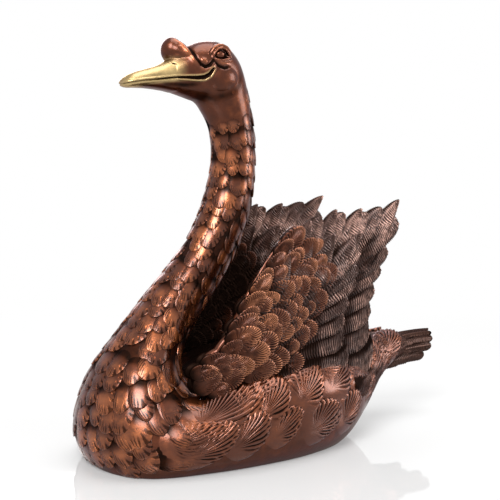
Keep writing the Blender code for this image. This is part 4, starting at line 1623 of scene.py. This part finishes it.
@dataclass(frozen=True)
class Stroke:
    """One line drawn into the modelled head, on both of its sides.

    Attributes:
        line: Points of the line as x and z, in mm.
        width: Half width of the line.
        depth: How far it is raised, or cut in where it is below zero.
        widths: Half width at each point, where it changes along the line.
    """

    line: tuple
    width: float
    depth: float
    widths: tuple = ()

    def reach(self, points: np.ndarray) -> tuple[np.ndarray, np.ndarray, np.ndarray]:
        """Distance of points from the line, its half width beside them, and how near they are to its ends.

        Args:
            points: Points of the head, in metres.

        Returns:
            Distances in mm, half widths in mm, and shares that fall to zero at both ends.
        """
        flat = points[:, (0, 2)] / MM
        nodes = np.array(self.line, float)
        runs = np.linalg.norm(np.diff(nodes, axis=0), axis=1)
        starts = np.concatenate([[0], np.cumsum(runs)])
        best = np.full(len(flat), 1e9)
        arc = np.zeros(len(flat))
        for k, run in enumerate(runs):
            heading = (nodes[k + 1] - nodes[k]) / run
            share = np.clip((flat - nodes[k]) @ heading, 0, run)
            away = np.linalg.norm(flat - nodes[k] - share[:, None] * heading, axis=1)
            arc = np.where(away < best, starts[k] + share, arc)
            best = np.minimum(best, away)
        half = np.interp(arc, starts, self.widths) if self.widths else np.full(len(flat), self.width)
        ends = np.minimum(arc, starts[-1] - arc) / max(0.18 * starts[-1], 0.5)
        return best, half, np.clip(ends, 0, 1)

    def push(self, points: np.ndarray) -> np.ndarray:
        """How far each point is moved, in mm.

        Args:
            points: Points of the head, in metres.

        Returns:
            One distance for each point.
        """
        away, half, ends = self.reach(points)
        return self.depth * np.exp(-((away / half) ** 2)) * lerp(0.35, 1.0, ends)


@dataclass
class Head:
    """Modelled head with its knob and bill, cut into the head casting and the two halves of the bill.

    Attributes:
        finish: Material of the head and the bill.
        gaze: Material of the eyes.
        voxel: Size of the cells that join the modelled masses, in metres.
        face_x: Where the bill is joined to the head, in mm.
        eye: Middle of the right eye, in mm.
        bead: Half sizes of an eye, in mm.
        upper: Upper half of the bill: distance ahead, half width, flat height and crown height, in mm.
        lower: Lower half of the bill in the same way.
        masses: Middle and half sizes of the knob, the cheeks and the brows.
        comb: Middle and radius along the rolled edge of the knob.
        lids: Lines of the eyelids round the eye.
        lid_radii: Radius of each lid.
        mouth: Line of the mouth.
        mouth_place: Point of the cut between the halves of the bill.
        mouth_down: Downward direction of that cut.
        seam_place: Point of the cut between the head and the neck.
        seam_down: Downward direction of that cut.
        strokes: Lines that are drawn into the face.
    """

    finish: bpy.types.Material
    gaze: bpy.types.Material
    voxel: float = 0.00048
    face_x: float = -92.0
    eye: tuple = (-59.6, 14.2, 287.6)
    bead: tuple = (4.2, 3.6, 3.6)
    upper: tuple = (
        (-8, 12, 270.6, 287), (0.4, 12.2, 270.4, 285.8), (4, 11.6, 270.1, 282.8), (8, 10.8, 269.7, 280.6),
        (12, 10.2, 269.4, 278.8), (20, 9.6, 268.2, 276.4), (26, 9.4, 267.2, 274.8), (31, 8.8, 266.2, 272.9),
        (34, 7.8, 265.6, 271.2), (36, 6.2, 265.2, 269.5), (37.2, 4.4, 264.8, 267.8),
    )
    lower: tuple = (
        (-8, 11.6, 270.4, 259.8), (0.4, 11.8, 270.0, 260.5), (5, 10.4, 269.5, 261.4), (12, 9.2, 268.8, 262.2),
        (20, 8.6, 267.6, 262.8), (28, 8.2, 266.2, 262.8), (33, 7.0, 265.4, 262.6), (36, 4.6, 265.0, 263.0),
        (37.4, 2.4, 265.0, 264.0),
    )
    masses: tuple = (
        ((-90.4, 0, 290.0), (7.6, 8.0, 9.2)), ((-86, 0, 286), (9, 10.5, 9)),
        ((-57, 11.5, 271), (14, 9, 12)), ((-57, -11.5, 271), (14, 9, 12)),
        ((-81, 6.0, 277), (10, 5.4, 7)), ((-81, -6.0, 277), (10, 5.4, 7)),
        ((-60, 8.5, 289.5), (8, 7.0, 6.2)), ((-60, -8.5, 289.5), (8, 7.0, 6.2)),
    )
    comb: tuple = (
        (-90.4, 0, 290.6, 7.8), (-87, 3, 289.2, 7.2), (-83, 6, 286.4, 6.2), (-79, 8.6, 283.2, 4.8),
        (-76, 10.2, 280.8, 3.4),
    )
    lids: tuple = (
        ((-7.0, -3.0), (-5.4, 0.6), (-2.8, 3.6), (0.4, 4.7), (3.6, 3.4), (6.0, 0.6), (8.4, -2.0)),
        ((-7.0, -3.0), (-3.6, -4.0), (0.4, -4.3), (4.4, -3.4), (8.4, -2.0)),
        ((-8.4, 0.4), (-6.0, 4.0), (-2.6, 6.2), (1.0, 6.5), (4.8, 5.0), (8.0, 1.6)),
    )
    lid_radii: tuple = (1.05, 0.85, 1.2)
    mouth: Stroke = Stroke(
        ((-129, 265.2), (-116, 267.4), (-104, 269.0), (-92, 270.4), (-84, 270.5), (-78, 270.4), (-73, 270.9),
         (-69.4, 273.0), (-66.6, 276.8)),
        0.6, -1.7, (0.3, 0.35, 0.4, 0.5, 0.8, 1.1, 1.3, 1.2, 0.8),
    )
    mouth_place: tuple = (-92, 0, 270.3)
    mouth_down: tuple = (5.0, 0, -35.0)
    seam_place: tuple = (-66, 0, 249)
    seam_down: tuple = (18, 0, -35)
    strokes: tuple = (
        Stroke(((-81, 296.5), (-80.5, 290), (-78.6, 283.8), (-75.4, 279.8), (-72.4, 278.2), (-69.1, 279.5),
                (-66.5, 282.7), (-65.6, 285)), 1.1, -1.2),
        Stroke(((-90, 298), (-85, 291.5), (-81, 285), (-77.5, 280)), 1.6, 0.9),
        Stroke(((-77, 277.8), (-72.5, 275.9), (-68.6, 277.4), (-65, 281)), 1.0, 0.6),
        Stroke(((-75.5, 283), (-71, 281.8)), 2.0, 0.7),
        Stroke(((-65.6, 283), (-62.6, 279.5), (-58.1, 277.9), (-53.6, 279)), 1.0, -0.9),
        Stroke(((-64, 282.6), (-59.5, 280.9), (-54, 281.4)), 1.3, 0.7),
        Stroke(((-94.6, 280.6), (-92.2, 279.7)), 0.6, -0.7),
        Stroke(((-100, 265.6), (-86, 265.2), (-76, 266)), 1.6, -0.4),
        Stroke(((-80, 258), (-63, 256.6), (-51, 260.2), (-43.5, 267), (-41, 275.5)), 2.8, -0.35),
    )

    def eye_place(self, side: float) -> np.ndarray:
        """Middle of an eye."""
        return np.array(self.eye) * (1, side, 1) * MM

    def loft(self, table: tuple) -> Shell:
        """Half of the bill.

        Args:
            table: Rows of distance ahead, half width, flat height and crown height.

        Returns:
            The half, closed at both ends.
        """
        stations, sides = 40, 24
        rows = np.array(table, float)
        ahead = np.linspace(rows[0, 0], rows[-1, 0], stations)
        half, flat, crown = (np.interp(ahead, rows[:, 0], rows[:, k]) for k in (1, 2, 3))
        angle = np.linspace(0, np.pi, sides)
        y = half[:, None] * np.sign(np.cos(angle)) * np.abs(np.cos(angle)) ** 0.85
        z = flat[:, None] + (crown - flat)[:, None] * np.sin(angle) ** 0.9
        x = np.broadcast_to(self.face_x - ahead[:, None], y.shape)
        shell = Shell()
        shell.add_tube(np.stack([x, y, z], -1) * MM)
        return shell

    @staticmethod
    def add_ball(bm: bmesh.types.BMesh, spot: tuple, thick: float, rounds: int) -> None:
        """Adds a ball to the modelled masses.

        Args:
            bm: Where it goes.
            spot: Its middle, in mm.
            thick: Its radius, in mm.
            rounds: How finely it is divided.
        """
        ball = bmesh.ops.create_icosphere(bm, subdivisions=rounds, radius=thick * MM)["verts"]
        bmesh.ops.translate(bm, verts=ball, vec=Vector(spot) * MM)

    def mass(self) -> bpy.types.Object:
        """Head, knob, cheeks and bill joined into one soft body.

        Returns:
            Its object.
        """
        bm = bmesh.new()
        along, around = np.linspace(HEAD_SEAM - 0.5, FACE_END, 60), np.linspace(0, 2 * np.pi, 64, endpoint=False)
        skull = Shell()
        skull.add_tube(TORSO.point(*np.meshgrid(along, around, indexing="ij")))
        for shell in (skull, self.loft(self.upper), self.loft(self.lower)):
            part = shell.mesh("part")
            bm.from_mesh(part)
            bpy.data.meshes.remove(part)
        for middle, radii in self.masses:
            ball = bmesh.ops.create_icosphere(bm, subdivisions=4, radius=1.0)["verts"]
            bmesh.ops.scale(bm, verts=ball, vec=Vector(radii) * MM)
            bmesh.ops.translate(bm, verts=ball, vec=Vector(middle) * MM)
        for side in (1.0, -1.0):
            comb = np.array(self.comb) * (1, side, 1, 1)
            for share in np.linspace(0, len(comb) - 1, 40):
                *spot, thick = (np.interp(share, range(len(comb)), comb[:, k]) for k in range(4))
                self.add_ball(bm, spot, thick, 3)
            for lid, thick in zip(self.lids, self.lid_radii):
                line = np.array(lid)
                for share in np.linspace(0, len(line) - 1, 36):
                    x, z = (np.interp(share, range(len(line)), line[:, k]) for k in (0, 1))
                    y = self.eye[1] + 3.7 - 0.022 * x * x - 0.035 * z * z
                    self.add_ball(bm, (self.eye[0] + x, side * y, self.eye[2] + z), thick, 2)
        mesh = bpy.data.meshes.new("head_mass")
        bm.to_mesh(mesh)
        bm.free()
        obj = new_object("head_mass", mesh)
        remesh = obj.modifiers.new("remesh", "REMESH")
        remesh.mode = "VOXEL"
        remesh.voxel_size = self.voxel
        soften = obj.modifiers.new("soften", "SMOOTH")
        soften.factor = 0.5
        soften.iterations = 4
        make_plain(obj)
        return obj

    def sculpt(self, mesh: bpy.types.Mesh) -> None:
        """Draws the strokes into the head and stores its relief and how far it is gilded.

        Args:
            mesh: Mesh of the modelled head.
        """
        count = len(mesh.vertices)
        points = np.zeros(count * 3)
        normals = np.zeros(count * 3)
        mesh.vertices.foreach_get("co", points)
        mesh.vertices.foreach_get("normal", normals)
        points, normals = points.reshape(-1, 3), normals.reshape(-1, 3)
        x, z = points[:, 0] / MM, points[:, 2] / MM
        away, half, ends = self.mouth.reach(points)
        gap = np.exp(-((away / half) ** 4)) * lerp(0.25, 0.75, smooth(-116, -90, x))
        bead = np.exp(-(((away - half - 0.75) / 0.6) ** 2)) * lerp(0.5, 1.0, ends)
        lids = [tuple((self.eye[0] + u, self.eye[2] + v) for u, v in lid) for lid in self.lids]
        drawn = (*self.strokes, *(Stroke(lid, 0.7, 0.6) for lid in lids))
        push = sum(stroke.push(points) for stroke in drawn) + self.mouth.depth * gap + 0.5 * bead
        for side in (1.0, -1.0):
            near = np.linalg.norm((points - self.eye_place(side)) / MM / (5.4, 9.0, 3.3), axis=1)
            push = push - 1.2 * np.exp(-(near**6))
        moved = points + normals * (push * MM)[:, None]
        mesh.vertices.foreach_set("co", moved.ravel())
        mesh.update()
        line = np.array(self.mouth.line)
        below = np.interp(x, line[:, 0], line[:, 1]) - z
        bill = smooth(-83, -95, x) * smooth(287, 279, z)
        under = np.maximum(smooth(4.0, 1.2, below), smooth(-112, -122, x))
        gilt = np.where(below > 0, bill * under, bill)
        gilt = np.maximum(gilt, bead * smooth(-63, -67, x))
        put(mesh, "relief", np.clip(0.46 + 0.6 * push, 0.0, 1.0))
        put(mesh, "gilt", np.clip(gilt, 0, 1))
        put(mesh, "tone", np.zeros(count))
        mesh.vertices.foreach_get("normal", normals.reshape(-1))
        put(mesh, "whole_normal", normals)

    def cut(self, source: bpy.types.Object, name: str, node: str, planes: tuple, slot: str) -> None:
        """Part of the head that lies behind each of some planes, closed where it is cut.

        Args:
            source: Whole head.
            name: Name of the part.
            node: CAD node that it stands for.
            planes: Point and outward direction of each plane.
            slot: Name of a material slot; not used.
        """
        bm = bmesh.new()
        bm.from_mesh(source.data)
        for place, outward in planes:
            for face in cut_off(bm, place, outward)[1]:
                face.material_index = 1
        bmesh.ops.recalc_face_normals(bm, faces=bm.faces)
        mesh = bpy.data.meshes.new(name)
        bm.to_mesh(mesh)
        bm.free()
        piece = new_object(name, mesh, self.finish)
        stored = mesh.attributes["whole_normal"].data
        normals: list = []
        for face in mesh.polygons:
            corners = [stored[vertex].vector for vertex in face.vertices]
            normals.extend([face.normal] * len(corners) if face.material_index == 1 else corners)
            face.material_index = 0
        mesh.normals_split_custom_set([tuple(normal) for normal in normals])
        mesh.attributes.remove(mesh.attributes["whole_normal"])
        settle(piece, node)

    def build(self) -> None:
        """Builds the head, both halves of the bill and the eyes."""
        whole = self.mass()
        self.sculpt(whole.data)
        face = (self.face_x, 0, 270)
        down = Vector(self.mouth_down).normalized()
        seam = (self.seam_place, Vector(self.seam_down).normalized())
        self.cut(whole, "head_skin", "head_casting", ((face, (-1, 0, 0)), seam), COPPER_SLOT)
        for name, node, out in (("bill_upper", "upper_bill", down), ("bill_lower", "lower_bill", -down)):
            self.cut(whole, name, node, ((face, (1, 0, 0)), (self.mouth_place, out)), "yellow_brass")
        bpy.data.objects.remove(whole)
        for side, node in ((-1.0, "left_eye"), (1.0, "right_eye")):
            bm = bmesh.new()
            bmesh.ops.create_uvsphere(bm, u_segments=32, v_segments=20, radius=1.0)
            bmesh.ops.scale(bm, verts=bm.verts, vec=Vector(self.bead) * MM)
            bmesh.ops.translate(bm, verts=bm.verts, vec=Vector(self.eye_place(side)))
            mesh = bpy.data.meshes.new(f"{node}_bead")
            bm.to_mesh(mesh)
            bm.free()
            for mark, value in (("relief", 0.62), ("tone", 0.0), ("gilt", 0.0)):
                put(mesh, mark, np.full(len(mesh.vertices), value))
            settle(new_object(f"{node}_bead", mesh, self.gaze), node)


@dataclass
class Stage:
    """Floor, light and camera at the photograph's view.

    Attributes:
        focal_px: Focal length in pixels of the photograph.
        frame_px: Width of the photograph in pixels.
        sensor: Width of the sensor in mm.
        place: Where the camera stands, in metres.
        heading: Angle that it is turned by.
        pitch: Angle that it is tipped by.
        aim: Point that the lamps face.
        lamps: Name, place, length of side and power in watts of each lamp.
        floor_half: Half length of the floor's side, in metres.
        glow: Distances from the swan over which the floor turns white, in metres.
        near_glow: How white the floor is beside the swan.
        soft_light: Strength of the light from all round.
    """

    focal_px: float = 1000.0
    frame_px: float = 500.0
    sensor: float = 36.0
    place: tuple = (-0.4224, -0.6360, 0.213)
    heading: float = -32.0
    pitch: float = -5.14
    aim: tuple = (-0.03, 0, 0.12)
    lamps: tuple = (
        ("key", (-0.75, -0.75, 0.95), 0.6, 20.0),
        ("top", (0.15, -0.1, 1.2), 0.8, 10.0),
        ("right", (0.95, -0.6, 0.45), 0.5, 6.0),
        ("back", (0.2, 1.0, 0.7), 0.7, 8.0),
    )
    floor_half: float = 6.0
    glow: tuple = (0.25, 0.7)
    near_glow: float = 0.25
    soft_light: float = 0.38

    def build(self) -> None:
        """Builds the floor, the lamps, the world and the camera."""
        scene = bpy.context.scene
        scene.view_settings.view_transform = "Standard"
        camera = bpy.data.objects.new("camera", bpy.data.cameras.new("camera"))
        camera.data.sensor_width = self.sensor
        camera.data.lens = self.sensor * self.focal_px / self.frame_px
        camera.data.clip_start = 0.01
        camera.location = self.place
        camera.rotation_euler = (math.radians(90 + self.pitch), 0, math.radians(self.heading))
        scene.collection.objects.link(camera)
        scene.camera = camera
        self.floor()
        for lamp in self.lamps:
            self.lamp(*lamp)
        self.world()

    def floor(self) -> None:
        """Pale floor that keeps the shadow and a faint reflection."""
        bm = bmesh.new()
        bmesh.ops.create_grid(bm, x_segments=1, y_segments=1, size=self.floor_half)
        mesh = bpy.data.meshes.new("floor")
        bm.to_mesh(mesh)
        bm.free()
        made = bpy.data.materials.new("pale_floor")
        made.use_nodes = True
        tree = NodeTree(made.node_tree)
        shader = made.node_tree.nodes["Principled BSDF"]
        shader.inputs["Base Color"].default_value = (*Colour.FLOOR.value, 1)
        shader.inputs["Roughness"].default_value = 0.04
        shader.inputs["Specular IOR Level"].default_value = 0.9
        glow = tree.node("ShaderNodeEmission")
        rays = tree.node("ShaderNodeLightPath").outputs
        seen = tree.maths("MAXIMUM", rays["Is Camera Ray"], rays["Is Glossy Ray"])
        mix = tree.node("ShaderNodeMixShader")
        place = tree.node("ShaderNodeTexCoord").outputs["Object"]
        away = tree.node("ShaderNodeVectorMath", operation="LENGTH")
        tree.feed(away.inputs[0], place)
        far = tree.step(away.outputs["Value"], *self.glow)
        white = tree.maths("MULTIPLY_ADD", far, 1 - self.near_glow, self.near_glow)
        tree.feed(mix.inputs[0], tree.maths("MULTIPLY", seen, white))
        tree.feed(mix.inputs[1], shader.outputs["BSDF"])
        tree.feed(mix.inputs[2], glow.outputs["Emission"])
        tree.feed(made.node_tree.nodes["Material Output"].inputs["Surface"], mix.outputs["Shader"])
        floor = new_object("floor", mesh, made)

    def lamp(self, name: str, place: tuple, size: float, power: float) -> None:
        """Soft square lamp that faces the statue.

        Args:
            name: Name of the lamp.
            place: Where it stands.
            size: Length of its side.
            power: Its power in watts.
        """
        lamp = bpy.data.objects.new(name, bpy.data.lights.new(name, "AREA"))
        lamp.data.size = size
        lamp.data.energy = power
        lamp.location = place
        aim = Vector(self.aim) - Vector(place)
        lamp.rotation_euler = aim.to_track_quat("-Z", "Y").to_euler()
        bpy.context.scene.collection.objects.link(lamp)

    def world(self) -> None:
        """World that looks white to the camera and in reflections, and lights the statue softly."""
        world = bpy.data.worlds.new("studio")
        world.use_nodes = True
        bpy.context.scene.world = world
        tree = NodeTree(world.node_tree)
        rays = tree.node("ShaderNodeLightPath").outputs
        sharp = tree.maths("MAXIMUM", rays["Is Camera Ray"], rays["Is Glossy Ray"])
        seen = tree.maths("MAXIMUM", sharp, rays["Is Transmission Ray"])
        ground = world.node_tree.nodes["Background"]
        ground.inputs["Color"].default_value = (1, 1, 1, 1)
        strength = tree.maths("MULTIPLY_ADD", seen, 1 - self.soft_light, self.soft_light)
        tree.feed(ground.inputs["Strength"], strength)


class Swan:
    """The dressed statue."""

    def __init__(self) -> None:
        """Makes the finishes and the patterns that the pieces share."""
        patina_group()
        barb_group()
        self.bare = Patina("bare_copper", gloss=0.8).material()
        self.scaled = Patina("scaled_copper", crest=Colour.BRIGHT_CREST, barbs=Barbs.COMB, bump=0.0006,
                             gloss=0.9).material()
        self.back = Patina("back_copper", barbs=Barbs.SWEPT, bump=0.001).material()
        self.flank = Patina("flank_copper", crest=Colour.FLANK_CREST, gloss=1.0).material()
        self.vane = Patina("vane_copper", crest=Colour.RUBBED_GREY, side=Colour.GREY,
                           gloss=1.0).material()
        self.covert = Patina("covert_copper", crest=Colour.GOLD, gloss=0.9).material()
        self.tail = Patina("tail_copper", crest=Colour.DARK_CREST, side=Colour.DARK_SIDE,
                           gloss=0.3).material()
        self.face = Patina("face_copper", gloss=0.85, gilded=True).material()
        self.gaze = Patina("eye_copper").material()
        self.coat = coat_tree()
        self.scale = FeatherPattern("scale_feather").build()
        self.plume = FeatherPattern("plume_feather", columns=13, rows=12, widest=0.55).build()

    def build(self) -> None:
        """Builds every piece in order."""
        Skin("neck_skin", "neck_casting", NECK_SEAM, HEAD_SEAM, self.bare).build()
        Skin("body_skin", "body_casting", 0.0, NECK_SEAM, self.bare, rings=200, sides=128).build()
        bed = Skin("feather_bed", "body_casting", 0.0, 19.5, self.bare, rings=260, sides=128, inset=0.0,
                   rim=-40.0).shape()
        coats = (
            FeatherCoat("neck_feathers", "neck_casting", self.scale, self.scaled, 19.2, NECK_SEAM, slimness=0.56),
            FeatherCoat("breast_feathers", "body_casting", self.scale, self.scaled, NECK_SEAM, 6.0),
            FeatherCoat("back_feathers", "body_casting", self.plume, self.back, 7.2, 0.15, from_turn=2.3),
        )
        for coat in coats:
            coat.build(bed, self.coat)
        bpy.data.objects.remove(bed)
        for side, name in ((-1.0, "left"), (1.0, "right")):
            Flank(side, f"{name}_flank_feathers", self.flank).build()
        for side, name in ((-1.0, "left"), (1.0, "right")):
            Wing(side, f"{name}_wing", self.bare, self.vane, self.covert).build()
        for pattern in (self.scale, self.plume):
            bpy.data.objects.remove(pattern)
        Rump(self.tail).build()
        Tail(self.tail).build()
        Head(self.face, self.gaze).build()
        self.dress()

    def dress(self) -> None:
        """Gives the plate, the felt, the sleeves, the pins and the screws of the frame finer finishes."""
        felt = Plain("pressed_felt", Colour.FELT, 0.9, 0.0, 1400.0).material()
        steel = Plain("turned_steel", Colour.STEEL, 0.35, 1.0, 700.0).material()
        cast = Plain("plain_copper", Colour.BROWN, 0.45, 0.9, 260.0).material()
        finishes = {"brown_felt": felt, "plain_steel": steel, "brown_copper": cast, "dark_copper": cast}
        for name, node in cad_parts.items():
            for slot in node.material_slots:
                slot.material = finishes.get(slot.material.name.split(".")[0], slot.material)
            LOG.info("%s is finished as %s", name, [slot.material.name for slot in node.material_slots])


def main() -> None:
    """Builds the stage and the statue."""
    logging.basicConfig(level=logging.INFO)
    Stage().build()
    Swan().build()


if __name__ == "__main__":
    main()
